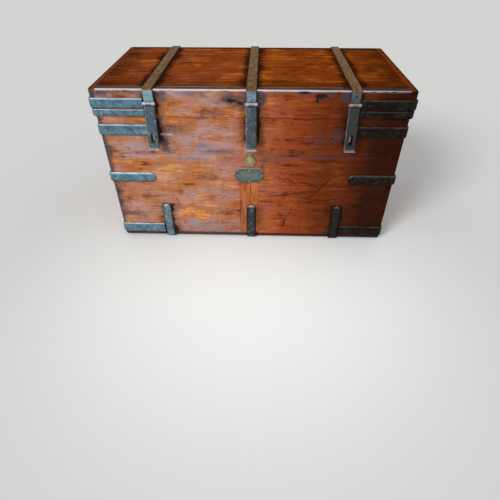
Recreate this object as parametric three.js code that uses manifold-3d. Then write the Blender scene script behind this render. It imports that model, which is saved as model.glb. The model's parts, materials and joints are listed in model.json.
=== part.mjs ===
// An iron-bound trunk: a dovetailed wooden chest with a hinged lid, iron bands and straps,
// three hasps, a lock behind the middle one and a drop handle at each end.
// Millimetres, +Z up, the front faces -Y. The origin is the middle of the footprint on the floor.

import * as THREE from 'three';
import { mergeVertices } from 'three/addons/utils/BufferGeometryUtils.js';
import Module from 'manifold-3d';

const wasm = await Module();
wasm.setup();

// Driving dimensions
const seat = 0.3; // the gap between two pieces that rest on each other
const running = 0.4; // the gap round a piece that turns or slides
const overrun = 2; // how far a cutter passes the face that it cuts

const body = { width: 860, depth: 440, height: 411, upperBoard: 113, board: 20, corner: 6, edge: 3.5 };
const bottom = { thick: 18, boards: 3 };
const lid = { height: 73.5, overhang: 4, rail: 20, plank: 18, corner: 8, edge: 3.5 };
const dovetail = { pin: 18, slopeShare: 1 / 7, lowerTails: 3, upperTails: 1, lidTails: 1 };
const patch = { width: 55, foot: 15, below: 1, depth: 8, offset: -7 };

const strapShare = 0.3186; // of the body's width, from the middle strap to a side one
const bodyStrap = { width: 30, thick: 5, bevel: 1.6, tipHeight: 124 };
const lidStrap = { width: 28, thick: 4, bevel: 1.2 };
const backHinge = { radius: 7, pin: 3, length: 32, middle: 12, head: 1 };
const haspHinge = { radius: 5.6, pin: 2.1, length: 33, middle: 13, head: 0.8, drop: 36.5 };
const hasp = { width: 30, thick: 3.5, bevel: 0.8, reach: 117, air: 1, lip: 6.5, lipBend: 2.4, tilt: 10 };
const slot = { width: 12, height: 30, below: 92 };
const staple = { rod: 2.25, height: 18, stand: 16, root: 12 };
const lockStaple = { rod: 2, height: 14, reach: 20, below: 104 };

const bandEnd = 3; // from the edge of a strap to the inner end of the band beside it
const thickBand = { height: 27, thick: 5, bevel: 1.8, below: 23 };
const lipBand = { height: 18, thick: 3, bevel: 1, above: 2 };
const upperBand = { height: 31, thick: 4, bevel: 1.5, below: 23.5 };
const middleBand = { height: 32, thick: 6, bevel: 3.4 };
const middleBandShare = 0.54; // of the body's height, from its foot to the middle of that band
const lowerBand = { height: 34, thick: 4, bevel: 1.5, above: 13 };

const keyhole = { below: 64, offset: -4, eye: 3.5, slotWidth: 3.2, slotHeight: 9 };
const lock = { width: 80, web: 4, margin: 22, room: 5 };
const bolt = { length: 30, height: 7, thick: 3.5, travel: 14 };
const cover = { above: 20, top: 8, bottom: 18, length: 21, thick: 3, bevel: 0.8 };
const coverRivet = { radius: 2, head: 4.4, headHeight: 2 };
const coverPlate = { top: 6.5, bottom: 13, thick: 1.5 };
const namePlate = { width: 86, height: 48, corner: 13, thick: 2.6, bevel: 0.7, below: 48, offset: -6 };
const platePin = { radius: 1.3, head: 2.6, headHeight: 1.2, inset: 7, root: 10 };

const handlePlate = { length: 128, height: 46, thick: 3, bevel: 0.8, below: 34.5 };
const bail = { rod: 4.5, half: 52, drop: 42, corner: 7, stand: 10 };
const lug = { radius: 8, length: 9, sideGap: 0.5 };

const arcSteps = 3; // facets in a square bend
const roundFacets = 16; // facets round a full circle

const iron = new THREE.MeshStandardMaterial({ color: 0x3f4b50, roughness: 0.48, metalness: 0.75 });
const topIron = new THREE.MeshStandardMaterial({ color: 0x57422c, roughness: 0.5, metalness: 0.7 });
const pinSteel = new THREE.MeshStandardMaterial({ color: 0x9aa3a3, roughness: 0.35, metalness: 0.9 });
const brass = new THREE.MeshStandardMaterial({ color: 0x8a7f54, roughness: 0.4, metalness: 0.85 });
const frontWood = new THREE.MeshStandardMaterial({ color: 0x7d3f1f, roughness: 0.42, metalness: 0 });
const lidWood = new THREE.MeshStandardMaterial({ color: 0x7a3812, roughness: 0.4, metalness: 0 });
const innerWood = new THREE.MeshStandardMaterial({ color: 0x6b4a2e, roughness: 0.7, metalness: 0 });

// Places that follow from them
const halfWidth = body.width / 2;
const halfDepth = body.depth / 2;
const woodFoot = bodyStrap.thick + seat;
const woodTop = woodFoot + body.height;
const lidFoot = woodTop + seat;
const lidTop = lidFoot + lid.height;
const lidHalfWidth = halfWidth + lid.overhang;
const lidFront = -halfDepth - lid.overhang;
const hingeAxis = { y: halfDepth + seat + backHinge.radius, z: woodTop + seat / 2 };
const haspAxis = { y: lidFront - seat - haspHinge.radius, z: lidTop - haspHinge.drop };
const strapSpacing = body.width * strapShare;
const strapPlaces = { left: -strapSpacing, centre: 0, right: strapSpacing };
const bandInner = strapSpacing + bodyStrap.width / 2 + bandEnd;

// From three.js geometry to a solid that can be joined and cut, and back
function solidOf(geometry) {
  const bare = geometry.clone();
  bare.deleteAttribute('normal');
  bare.deleteAttribute('uv');
  const merged = mergeVertices(bare);
  const vertProperties = merged.attributes.position.array;
  const triVerts = Uint32Array.from(merged.index.array);
  return new wasm.Manifold(new wasm.Mesh({ numProp: 3, vertProperties, triVerts }));
}

function geometryOf(solid) {
  const mesh = solid.getMesh();
  const geometry = new THREE.BufferGeometry();
  geometry.setAttribute('position', new THREE.BufferAttribute(mesh.vertProperties, 3));
  geometry.setIndex(new THREE.BufferAttribute(mesh.triVerts, 1));
  geometry.computeVertexNormals();
  return geometry;
}

const group = new THREE.Group();

function place(name, shape, material, parent = group) {
  const geometry = shape.isBufferGeometry ? shape : geometryOf(shape);
  const mesh = new THREE.Mesh(geometry, material.clone());
  mesh.name = name;
  parent.add(mesh);
  return mesh;
}

// A box between two corners
function block(x0, x1, y0, y1, z0, z1) {
  const geometry = new THREE.BoxGeometry(x1 - x0, y1 - y0, z1 - z0);
  geometry.translate((x0 + x1) / 2, (y0 + y1) / 2, (z0 + z1) / 2);
  return solidOf(geometry);
}

// A round bar along X or Y
function roundX(radius, length, x, y, z) {
  const geometry = new THREE.CylinderGeometry(radius, radius, length, roundFacets);
  geometry.rotateZ(Math.PI / 2);
  geometry.translate(x, y, z);
  return solidOf(geometry);
}

function roundY(radius, length, x, y, z) {
  const geometry = new THREE.CylinderGeometry(radius, radius, length, roundFacets);
  geometry.translate(x, y, z);
  return solidOf(geometry);
}

// A flat plate that faces -Y: a shape in X and Z, from the plane y = back towards the front
function plate(shape, thick, back, bevel = 0) {
  const settings = { depth: thick - bevel, bevelEnabled: bevel > 0 };
  const rounding = { bevelThickness: bevel, bevelSize: bevel, bevelOffset: -bevel, bevelSegments: 1 };
  const geometry = new THREE.ExtrudeGeometry(shape, { ...settings, ...rounding });
  geometry.rotateX(Math.PI / 2);
  geometry.translate(0, back, 0);
  const solid = solidOf(geometry);
  if (bevel === 0) return solid;
  const bounds = solid.boundingBox();
  const reach = overrun + bevel;
  return solid.subtract(block(bounds.min[0] - reach, bounds.max[0] + reach, back, back + reach,
    bounds.min[2] - reach, bounds.max[2] + reach));
}

// Points along an arc, as close together as on a round bar
function arc(x, z, radius, from, to) {
  const steps = Math.ceil((to - from) / (2 * Math.PI) * roundFacets);
  return Array.from({ length: steps + 1 }, (_, i) => {
    const angle = from + (to - from) * i / steps;
    return new THREE.Vector2(x + radius * Math.cos(angle), z + radius * Math.sin(angle));
  });
}

// A straight-sided shape with its corners rounded off
function roundedRectangle(width, height, radius, x = 0, z = 0) {
  const corners = [[1, -1], [1, 1], [-1, 1], [-1, -1]];
  return new THREE.Shape(corners.flatMap(([right, up], turn) => arc(x + right * (width / 2 - radius),
    z + up * (height / 2 - radius), radius, (turn - 1) * Math.PI / 2, turn * Math.PI / 2)));
}

// A closed skin over a row of rings of points, with a flat cap on the first and the last
function loft(rings) {
  const count = rings[0].length;
  const corners = rings.flat();
  const faces = [];
  for (let ring = 0; ring < rings.length - 1; ring++) {
    for (let i = 0; i < count; i++) {
      const a = ring * count + i;
      const b = ring * count + (i + 1) % count;
      faces.push(a, b, b + count, a, b + count, a + count);
    }
  }
  const last = (rings.length - 1) * count;
  for (let i = 1; i < count - 1; i++) {
    faces.push(0, i + 1, i, last, last + i, last + i + 1);
  }
  const volume = faces.reduce((sum, corner, at) => {
    if (at % 3 > 0) return sum;
    const [a, b, c] = [corner, faces[at + 1], faces[at + 2]].map((i) => corners[i]);
    return sum + a.dot(b.clone().cross(c));
  }, 0);
  if (volume < 0) faces.reverse();
  const geometry = new THREE.BufferGeometry().setFromPoints(corners);
  geometry.setIndex(faces);
  return solidOf(geometry);
}

// A route in a plane through square corners, each rounded. Every turn goes the same way, and
// `out` points away from the side that the route turns towards.
function route(corners, radius) {
  const stops = [];
  const first = corners[0];
  const last = corners[corners.length - 1];
  const heading = (from, to) => to.clone().sub(from).normalize();
  stops.push({ at: first.clone(), out: heading(corners[2], corners[1]) });
  for (let i = 1; i < corners.length - 1; i++) {
    const before = heading(corners[i - 1], corners[i]);
    const after = heading(corners[i], corners[i + 1]);
    const centre = corners[i].clone().addScaledVector(before, -radius).addScaledVector(after, radius);
    for (let step = 0; step <= arcSteps; step++) {
      const angle = step / arcSteps * Math.PI / 2;
      const out = after.clone().multiplyScalar(-Math.cos(angle)).addScaledVector(before, Math.sin(angle));
      stops.push({ at: centre.clone().addScaledVector(out, radius), out });
    }
  }
  stops.push({ at: last.clone(), out: heading(corners[corners.length - 3], corners[corners.length - 2]) });
  return stops;
}

// The same route with its first end drawn in to a half circle, as a round tip
function roundTip(stops, halfWide) {
  const [first, ...rest] = stops;
  const along = rest[0].at.clone().sub(first.at).normalize();
  const tip = [];
  for (let step = 1; step < arcSteps * 2; step++) {
    const angle = step / (arcSteps * 2) * Math.PI / 2;
    const at = first.at.clone().addScaledVector(along, halfWide * (1 - Math.cos(angle)));
    tip.push({ at, out: first.out, wide: Math.sin(angle), high: Math.sqrt(Math.sin(angle)) });
  }
  tip.push({ at: first.at.clone().addScaledVector(along, halfWide), out: first.out });
  return [...tip, ...rest];
}

// A bar whose section [across, outwards] is carried along a route
function carried(section, stops, across) {
  return loft(stops.map(({ at, out, wide = 1, high = 1 }) => section.map(([side, lift]) => (
    at.clone().addScaledVector(across, side * wide).addScaledVector(out, lift * high)))));
}

// Sections: a flat bar with its outer edges taken off, the same with all four, and a round rod
function barSection(width, thick, bevel) {
  const half = width / 2;
  const edge = thick - bevel / 2;
  return [[-half, 0], [-half, thick - bevel], [-half + bevel, edge], [-half + 2 * bevel, thick],
    [half - 2 * bevel, thick], [half - bevel, edge], [half, thick - bevel], [half, 0]];
}

function haspSection(width, thick, bevel) {
  const half = width / 2;
  return [[-half, bevel], [-half, thick - bevel], [-half + bevel, thick], [half - bevel, thick],
    [half, thick - bevel], [half, bevel], [half - bevel, 0], [-half + bevel, 0]];
}

function rodSection(radius) {
  return Array.from({ length: roundFacets / 2 }, (_, i) => {
    const angle = i / (roundFacets / 2) * Math.PI * 2;
    return [radius * Math.cos(angle), radius * Math.sin(angle)];
  });
}

const point = (x, y, z) => new THREE.Vector3(x, y, z);
const alongX = new THREE.Vector3(1, 0, 0);
const alongY = new THREE.Vector3(0, 1, 0);
const alongZ = new THREE.Vector3(0, 0, 1);

// A box with round upright corners, and its top or bottom edges rounded too
function softBox({ halfX, front, back, low, high, corner, edge, edgeAtTop }) {
  const depth = back - front;
  const spare = edge + overrun;
  const shape = roundedRectangle(2 * halfX, depth, corner, 0, (front + back) / 2);
  const settings = { bevelEnabled: true, bevelSegments: arcSteps };
  const rounding = { bevelThickness: edge, bevelSize: edge, bevelOffset: -edge };
  const height = high - low + spare - edge;
  const geometry = new THREE.ExtrudeGeometry(shape, { ...settings, ...rounding, depth: height });
  geometry.translate(0, 0, edgeAtTop ? low - spare : low + edge);
  return solidOf(geometry);
}

// Dovetails: pins on the end boards, tails on the front and back boards between them
function pinHeights(low, high, tails) {
  return Array.from({ length: tails + 1 }, (_, i) => low + (high - low) * i / tails);
}

// One pin seen from the front is a wedge, wide at the inside. `grow` makes the pocket for it.
function dovetailPin({ side, height, inner, outer, front, back, grow }) {
  const halfAt = (x) => dovetail.pin / 2 + (outer - x) * dovetail.slopeShare + grow;
  const from = inner - grow;
  const to = outer + (grow > 0 ? overrun : 0);
  const corners = [[from, -halfAt(from)], [to, -halfAt(to)], [to, halfAt(to)], [from, halfAt(from)]];
  const shape = new THREE.Shape(corners.map(([x, z]) => new THREE.Vector2(side * x, height + z)));
  return plate(shape, back - front, back);
}

// The four boards of a dovetailed frame. Those along X carry the tails.
function tailBoard({ halfX, thick, y0, y1, low, high, heights }) {
  let board = block(-halfX, halfX, y0, y1, low, high);
  for (const side of [-1, 1]) {
    for (const height of heights) {
      const pocket = { side, height, inner: halfX - thick, outer: halfX, grow: seat };
      board = board.subtract(dovetailPin({ ...pocket, front: y0 - overrun, back: y1 + overrun }));
    }
  }
  return board;
}

function pinBoard({ side, halfX, thick, front, back, low, high, heights }) {
  const inner = halfX - thick;
  const [x0, x1] = side > 0 ? [inner, halfX] : [-halfX, -inner];
  let board = block(x0, x1, front + thick + seat, back - thick - seat, low, high);
  for (const height of heights) {
    board = board.add(dovetailPin({ side, height, inner, outer: halfX, front, back, grow: 0 }));
  }
  return board.intersect(block(x0 - overrun, x1 + overrun, front, back, low, high));
}

// Hinges: a barrel along X, whose middle is on one leaf and whose two ends are on the other
function barrelEnds(hinge, radius, extra) {
  const length = (hinge.length - hinge.middle) / 2 - seat;
  const place = hinge.middle / 2 + seat + length / 2;
  return [-1, 1].map((side) => ({ radius, length: length + extra, x: side * place }));
}

function barrelMiddle(hinge, radius, extra) {
  return [{ radius, length: hinge.middle + extra, x: 0 }];
}

function knuckled(leaf, hinge, x, y, z, holdsMiddle) {
  const [own, other] = holdsMiddle ? [barrelMiddle, barrelEnds] : [barrelEnds, barrelMiddle];
  const bar = (part) => roundX(part.radius, part.length, x + part.x, y, z);
  let solid = leaf;
  for (const part of other(hinge, hinge.radius + running, 2 * seat)) solid = solid.subtract(bar(part));
  for (const part of own(hinge, hinge.radius, 0)) solid = solid.add(bar(part));
  return solid.subtract(roundX(hinge.pin + running / 2, hinge.length + 2 * overrun, x, y, z));
}

// A pin with its two ends rounded over, along X
function hingePin(hinge, x, y, z) {
  const half = hinge.length / 2;
  const profile = [[0, -half - hinge.head], [hinge.pin - hinge.head, -half - hinge.head],
    [hinge.pin, -half], [hinge.pin, half], [hinge.pin - hinge.head, half + hinge.head],
    [0, half + hinge.head]].map(([r, along]) => new THREE.Vector2(r, along));
  const geometry = new THREE.LatheGeometry(profile, roundFacets);
  geometry.rotateZ(Math.PI / 2);
  geometry.translate(x, y, z);
  return solidOf(geometry);
}

// A rivet or nail that faces -Y: a domed head on a shank, turned about its own axis
function headedPin({ radius, head, headHeight, root, x, front, z }) {
  const profile = [[0, -root], [radius, -root], [radius, 0], [head, 0]];
  for (let step = 1; step < arcSteps; step++) {
    const angle = step / arcSteps * Math.PI / 2;
    profile.push([head * Math.cos(angle), headHeight * Math.sin(angle)]);
  }
  profile.push([0, headHeight]);
  const turned = profile.map(([r, along]) => new THREE.Vector2(r, along));
  const geometry = new THREE.LatheGeometry(turned, roundFacets / 2);
  geometry.rotateX(Math.PI);
  geometry.translate(x, front, z);
  return solidOf(geometry);
}

// The wooden body: dovetailed boards, a bottom of loose-fitted boards and the let-in patch
const bodySoft = softBox({ halfX: halfWidth, front: -halfDepth, back: halfDepth, low: woodFoot,
  high: woodTop, corner: body.corner, edge: body.edge, edgeAtTop: false });
const seamZ = woodTop - body.upperBoard;
const lowerPins = pinHeights(woodFoot, seamZ, dovetail.lowerTails);
const upperPins = pinHeights(seamZ, woodTop, dovetail.upperTails);
const bodyPins = [...lowerPins, ...upperPins.slice(1)];
const lowerBoard = { halfX: halfWidth, thick: body.board, low: woodFoot, high: seamZ, heights: bodyPins };
const upperBoard = { ...lowerBoard, low: seamZ + seat, high: woodTop };
const atFront = { y0: -halfDepth, y1: -halfDepth + body.board };
const atBack = { y0: halfDepth - body.board, y1: halfDepth };

// The patch, and the lock behind the middle hasp, are let into the front boards
const patchX = [patch.offset - patch.width / 2, patch.offset + patch.width / 2];
const stapleHome = haspAxis.z - lockStaple.below;
const keyholeZ = stapleHome - keyhole.below;
const namePlateZ = keyholeZ - namePlate.below;
const patchZ = [woodFoot + patch.foot, namePlateZ - namePlate.height / 2 - patch.below];
const patchPocket = block(patchX[0] - seat, patchX[1] + seat, -halfDepth - overrun,
  -halfDepth + patch.depth + seat, patchZ[0] - seat, patchZ[1] + seat);

const haspBack = haspHinge.radius + seat - hasp.air;
const stapleTip = haspAxis.y + haspBack + lockStaple.reach;
const lockZ = [keyholeZ - lock.margin, stapleHome + lock.margin];
const lockFace = -halfDepth + lock.web + seat;
const lockInner = -halfDepth + body.board;
const lockHalf = lock.width / 2;
const lockPocket = block(-lockHalf - seat, lockHalf + seat, lockFace - seat, lockInner + overrun,
  lockZ[0] - seat, lockZ[1] + seat);

// The mortise for the lock staple, with room for the arc that it swings in on.
const mortiseHalf = lockStaple.rod + lock.room / 2;
const mortiseRise = lockStaple.height / 2 + lockStaple.rod + lock.room;
const mortise = block(-mortiseHalf, mortiseHalf, -halfDepth - overrun, stapleTip + seat + running,
  stapleHome - mortiseRise, stapleHome + mortiseRise);

function keyholeShape() {
  const half = keyhole.slotWidth / 2;
  const meet = Math.asin(half / keyhole.eye);
  const low = [-half, half].map((x) => new THREE.Vector2(keyhole.offset + x, keyholeZ - keyhole.slotHeight));
  const eye = arc(keyhole.offset, keyholeZ, keyhole.eye, meet - Math.PI / 2, Math.PI * 3 / 2 - meet);
  return new THREE.Shape([...low, ...eye]);
}
const keyway = plate(keyholeShape(), lockInner - lock.room + halfDepth + overrun * 2, lockInner - lock.room);

// Nails and rivets that go into the front, with the holes that they are driven into
const pinReach = [namePlate.width / 2 - platePin.inset, namePlate.height / 2 - platePin.inset];
const platePins = {
  left: [namePlate.offset - pinReach[0], namePlateZ],
  right: [namePlate.offset + pinReach[0], namePlateZ],
  top: [namePlate.offset, namePlateZ + pinReach[1]],
  bottom: [namePlate.offset, namePlateZ - pinReach[1]],
};
const coverX = keyhole.offset;
const coverZ = keyholeZ + cover.above;
const frontHoles = Object.values(platePins).map(([x, z]) => (
  roundY(platePin.radius + running / 2, 2 * platePin.root + overrun, x, -halfDepth, z)));
const rivetHole = roundY(coverRivet.radius + running / 2, lock.web + 2 * cover.thick + overrun * 2, coverX,
  -halfDepth, coverZ);
frontHoles.push(rivetHole);

const stapleZ = haspAxis.z - slot.below;
const stapleLeg = staple.height / 2;
for (const x of [strapPlaces.left, strapPlaces.right]) {
  for (const z of [stapleZ - stapleLeg, stapleZ + stapleLeg]) {
    frontHoles.push(roundY(staple.rod + running / 2, 2 * staple.root + overrun, x, -halfDepth, z));
  }
}

const frontCuts = [patchPocket, lockPocket, mortise, keyway, ...frontHoles];
const cutBy = (solid, cutters) => cutters.reduce((left, cutter) => left.subtract(cutter), solid);
const softened = (solid) => solid.intersect(bodySoft);

place('front_lower_board', cutBy(softened(tailBoard({ ...lowerBoard, ...atFront })), frontCuts), frontWood);
place('front_upper_board', cutBy(softened(tailBoard({ ...upperBoard, ...atFront })), frontCuts), frontWood);
place('back_lower_board', softened(tailBoard({ ...lowerBoard, ...atBack })), frontWood);
place('back_upper_board', softened(tailBoard({ ...upperBoard, ...atBack })), frontWood);
place('front_patch', cutBy(block(patchX[0], patchX[1], -halfDepth, -halfDepth + patch.depth,
  patchZ[0], patchZ[1]), frontHoles), frontWood);

const endBoard = { halfX: halfWidth, thick: body.board, front: -halfDepth, back: halfDepth,
  low: woodFoot, high: woodTop, heights: bodyPins };
const upperBandFoot = woodTop - upperBand.below - upperBand.height;
const handleZ = upperBandFoot - handlePlate.below - handlePlate.height / 2;
place('left_end_board', softened(pinBoard({ ...endBoard, side: -1 })), frontWood);
place('right_end_board', softened(pinBoard({ ...endBoard, side: 1 })), frontWood);

const bottomHalfX = halfWidth - body.board - seat;
const bottomFront = -halfDepth + body.board + seat;
const bottomPitch = -2 * bottomFront / bottom.boards;
['bottom_front_board', 'bottom_middle_board', 'bottom_rear_board'].forEach((name, i) => {
  const from = bottomFront + i * bottomPitch + (i > 0 ? seat : 0);
  const to = bottomFront + (i + 1) * bottomPitch;
  place(name, block(-bottomHalfX, bottomHalfX, from, to, woodFoot, woodFoot + bottom.thick), innerWood);
});

// The lid: a dovetailed rim of rails, with two planks let in flush with its top
const lidSoft = softBox({ halfX: lidHalfWidth, front: lidFront, back: halfDepth, low: lidFoot,
  high: lidTop, corner: lid.corner, edge: lid.edge, edgeAtTop: true });
const lidPins = pinHeights(lidFoot, lidTop, dovetail.lidTails);
const lidRail = { halfX: lidHalfWidth, thick: lid.rail, low: lidFoot, high: lidTop, heights: lidPins };
const lidGroup = new THREE.Group();
group.add(lidGroup);
const softLid = (solid) => solid.intersect(lidSoft);
const frontRail = tailBoard({ ...lidRail, y0: lidFront, y1: lidFront + lid.rail });
const backRail = tailBoard({ ...lidRail, y0: halfDepth - lid.rail, y1: halfDepth });
place('lid_front_rail', softLid(frontRail), frontWood, lidGroup);
place('lid_back_rail', softLid(backRail), frontWood, lidGroup);
const endRail = { ...lidRail, front: lidFront, back: halfDepth };
place('lid_left_rail', softLid(pinBoard({ ...endRail, side: -1 })), frontWood, lidGroup);
place('lid_right_rail', softLid(pinBoard({ ...endRail, side: 1 })), frontWood, lidGroup);

const plankHalfX = lidHalfWidth - lid.rail - seat;
const plankFront = lidFront + lid.rail + seat;
const plankBack = halfDepth - lid.rail - seat;
const plankSeam = (plankFront + plankBack) / 2;
const plankFoot = lidTop - lid.plank;
place('lid_front_plank', block(-plankHalfX, plankHalfX, plankFront, plankSeam - seat / 2, plankFoot, lidTop),
  lidWood, lidGroup);
place('lid_rear_plank', block(-plankHalfX, plankHalfX, plankSeam + seat / 2, plankBack, plankFoot, lidTop),
  lidWood, lidGroup);

// Iron bands that wrap round the two ends, from strap to strap
function wrapBand({ side, spec, middle, halfX, front, corner, tips }) {
  const x = side * (halfX + seat);
  const corners = [point(side * bandInner, front - seat, middle), point(x, front - seat, middle),
    point(x, halfDepth + seat, middle), point(side * bandInner, halfDepth + seat, middle)];
  let stops = route(corners, corner + seat);
  if (tips) stops = roundTip(roundTip(stops, spec.height / 2).reverse(), spec.height / 2);
  return carried(barSection(spec.height, spec.thick, spec.bevel), stops, alongZ);
}

for (const [name, side] of [['left', -1], ['right', 1]]) {
  const onBody = { side, halfX: halfWidth, front: -halfDepth, corner: body.corner };
  const onLid = { side, halfX: lidHalfWidth, front: lidFront, corner: lid.corner };
  const upper = { spec: upperBand, middle: woodTop - upperBand.below - upperBand.height / 2 };
  const centre = { spec: middleBand, middle: woodFoot + body.height * middleBandShare };
  const lower = { spec: lowerBand, middle: woodFoot + lowerBand.above + lowerBand.height / 2 };
  const thick = { spec: thickBand, middle: lidTop - thickBand.below - thickBand.height / 2 };
  const lip = { spec: lipBand, middle: lidFoot + lipBand.above + lipBand.height / 2 };
  place(`${name}_upper_band`, wrapBand({ ...onBody, ...upper }), iron);
  place(`${name}_middle_band`, wrapBand({ ...onBody, ...centre, tips: true }), iron);
  place(`${name}_lower_band`, wrapBand({ ...onBody, ...lower }), iron);
  place(`${name}_lid_band`, wrapBand({ ...onLid, ...thick }), iron, lidGroup);
  place(`${name}_lip_band`, wrapBand({ ...onLid, ...lip }), iron, lidGroup);
}

// Body straps: a round tip on the front, under the bottom, and up the back to a hinge knuckle
function bodyStrapAt(x) {
  const front = -halfDepth - seat;
  const back = halfDepth + seat;
  const corners = [point(x, front, woodFoot + bodyStrap.tipHeight), point(x, front, bodyStrap.thick),
    point(x, back, bodyStrap.thick), point(x, back, hingeAxis.z)];
  const stops = roundTip(route(corners, body.edge + seat), bodyStrap.width / 2);
  return carried(barSection(bodyStrap.width, bodyStrap.thick, bodyStrap.bevel), stops, alongX);
}

// Lid straps: from a hasp knuckle up the lid's front, over its top and down to a hinge knuckle
function lidStrapAt(x) {
  const front = lidFront - seat;
  const back = halfDepth + seat;
  const top = lidTop + seat;
  const corners = [point(x, front, haspAxis.z), point(x, front, top), point(x, back, top),
    point(x, back, hingeAxis.z)];
  const stops = route(corners, lid.edge + seat);
  return carried(barSection(lidStrap.width, lidStrap.thick, lidStrap.bevel), stops, alongX);
}

for (const [name, x] of Object.entries(strapPlaces)) {
  const { y, z } = hingeAxis;
  place(`${name}_body_strap`, knuckled(bodyStrapAt(x), backHinge, x, y, z, true), iron);
  place(`${name}_hinge_pin`, hingePin(backHinge, x, y, z), pinSteel);
  const hinged = knuckled(lidStrapAt(x), backHinge, x, y, z, false);
  const strap = knuckled(hinged, haspHinge, x, haspAxis.y, haspAxis.z, false);
  place(`${name}_lid_strap`, strap, topIron, lidGroup);
  place(`${name}_hasp_pin`, hingePin(haspHinge, x, haspAxis.y, haspAxis.z), pinSteel, lidGroup);
}

// Hasps hang from their knuckles, tilted outwards a little. Each is drawn about its own pin.
function haspLeaf(slotted) {
  const face = haspBack - hasp.thick;
  const corners = [point(0, face, 0), point(0, face, -hasp.reach - hasp.lipBend),
    point(0, face - hasp.lip, -hasp.reach - hasp.lipBend)];
  const stops = route(corners, hasp.lipBend);
  const leaf = carried(haspSection(hasp.width, hasp.thick, hasp.bevel), stops, alongX);
  const hinged = knuckled(leaf, haspHinge, 0, 0, 0, true);
  if (!slotted) return hinged;
  const hole = roundedRectangle(slot.width, slot.height, slot.width / 2, 0, -slot.below);
  return hinged.subtract(plate(hole, hasp.thick + 2 * overrun, haspBack + overrun));
}

// A staple: a rod bent to a U in the upright plane, with its legs towards +Y or -Y
function stapleLoop(spec, x, legs, tip, z) {
  const half = spec.height / 2;
  const corners = [point(x, legs, z + half), point(x, tip, z + half), point(x, tip, z - half),
    point(x, legs, z - half)];
  return carried(rodSection(spec.rod), route(corners, 2 * spec.rod), alongX);
}

const tiltAngle = THREE.MathUtils.degToRad(-hasp.tilt);
for (const [name, x] of Object.entries(strapPlaces)) {
  const hanger = new THREE.Group();
  hanger.position.set(x, haspAxis.y, haspAxis.z);
  hanger.rotation.x = tiltAngle;
  lidGroup.add(hanger);
  place(`${name}_hasp`, haspLeaf(name !== 'centre'), iron, hanger);
  if (name === 'centre') {
    const tip = haspBack + lockStaple.reach - lockStaple.rod;
    const loop = stapleLoop(lockStaple, 0, haspBack + seat, tip, -lockStaple.below);
    place('lock_staple', loop, pinSteel, hanger);
  } else {
    const tip = -halfDepth - staple.stand + staple.rod;
    place(`${name}_staple`, stapleLoop(staple, x, -halfDepth + staple.root, tip, stapleZ), pinSteel);
  }
}

// The lock: a case let in from behind, and a bolt that slides across behind the mortise
const boltBack = stapleTip - 2 * lockStaple.rod - running;
const boltFront = boltBack - bolt.thick;
const boltEnd = mortiseHalf + running;
const boltRise = bolt.height / 2;
const channel = block(boltEnd - bolt.travel - running, boltEnd + bolt.length + running, boltFront - running,
  boltBack + running, stapleHome - boltRise - running, stapleHome + boltRise + running);
const lockBody = block(-lockHalf, lockHalf, lockFace, lockInner, lockZ[0], lockZ[1]);
place('lock_case', cutBy(lockBody, [mortise, keyway, channel]), iron);
place('lock_bolt', block(boltEnd, boltEnd + bolt.length, boltFront, boltBack, stapleHome - boltRise,
  stapleHome + boltRise), pinSteel);

// A drop: a small round above a larger one, joined by their common tangents
function dropShape(top, low, apart, x, z) {
  const lean = Math.asin((low - top) / apart);
  return new THREE.Shape([...arc(x, z, top, lean, Math.PI - lean),
    ...arc(x, z - apart, low, Math.PI - lean, Math.PI * 2 + lean)]);
}

// The keyhole: a thin brass plate on the wood, a drop-shaped cover over it, and its rivet
const coverPlateBack = -halfDepth - seat;
const coverBack = coverPlateBack - coverPlate.thick - seat;
const coverFront = coverBack - cover.thick;
const plateDrop = dropShape(coverPlate.top, coverPlate.bottom, cover.length, coverX, coverZ);
place('keyhole_plate', cutBy(plate(plateDrop, coverPlate.thick, coverPlateBack), [keyway, rivetHole]), brass);
const coverDrop = dropShape(cover.top, cover.bottom, cover.length, coverX, coverZ);
place('keyhole_cover', plate(coverDrop, cover.thick, coverBack, cover.bevel).subtract(rivetHole), brass);
const rivetFront = coverFront - running;
place('cover_rivet', headedPin({ ...coverRivet,
  root: lockFace - seat - rivetFront, x: coverX, front: rivetFront, z: coverZ }), brass);

// The name plate, with its four corners cut off, and its pins
function octagon(width, height, corner, x, z) {
  const [halfW, halfH] = [width / 2, height / 2];
  const outline = [[halfW, corner - halfH], [halfW, halfH - corner], [halfW - corner, halfH],
    [corner - halfW, halfH], [-halfW, halfH - corner], [-halfW, corner - halfH],
    [corner - halfW, -halfH], [halfW - corner, -halfH]];
  return new THREE.Shape(outline.map(([across, up]) => new THREE.Vector2(x + across, z + up)));
}
const namePlateBack = -halfDepth - seat;
const nameShape = octagon(namePlate.width, namePlate.height, namePlate.corner, namePlate.offset, namePlateZ);
const pinHoles = Object.values(platePins).map(([x, z]) => (
  roundY(platePin.radius + running / 2, 2 * platePin.root, x, namePlateBack, z)));
const bareName = plate(nameShape, namePlate.thick, namePlateBack, namePlate.bevel);
place('name_plate', cutBy(bareName, pinHoles), iron);
for (const [name, [x, z]] of Object.entries(platePins)) {
  place(`name_plate_${name}_pin`, headedPin({ ...platePin, x, front: namePlateBack - namePlate.thick - seat,
    z }), pinSteel);
}

// End handles: a round-ended plate with two eyes, and a bail whose turned-in ends sit in them
function turnedToEnd(solid, side) {
  return solid.rotate([0, 0, side * 90]);
}
const bailAxis = handlePlate.thick + seat + bail.stand;
const lugOuter = bail.half - bail.corner - lug.sideGap;
const lugMiddle = lugOuter - lug.length / 2;
const bailEnd = lugOuter - lug.length - seat;

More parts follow.
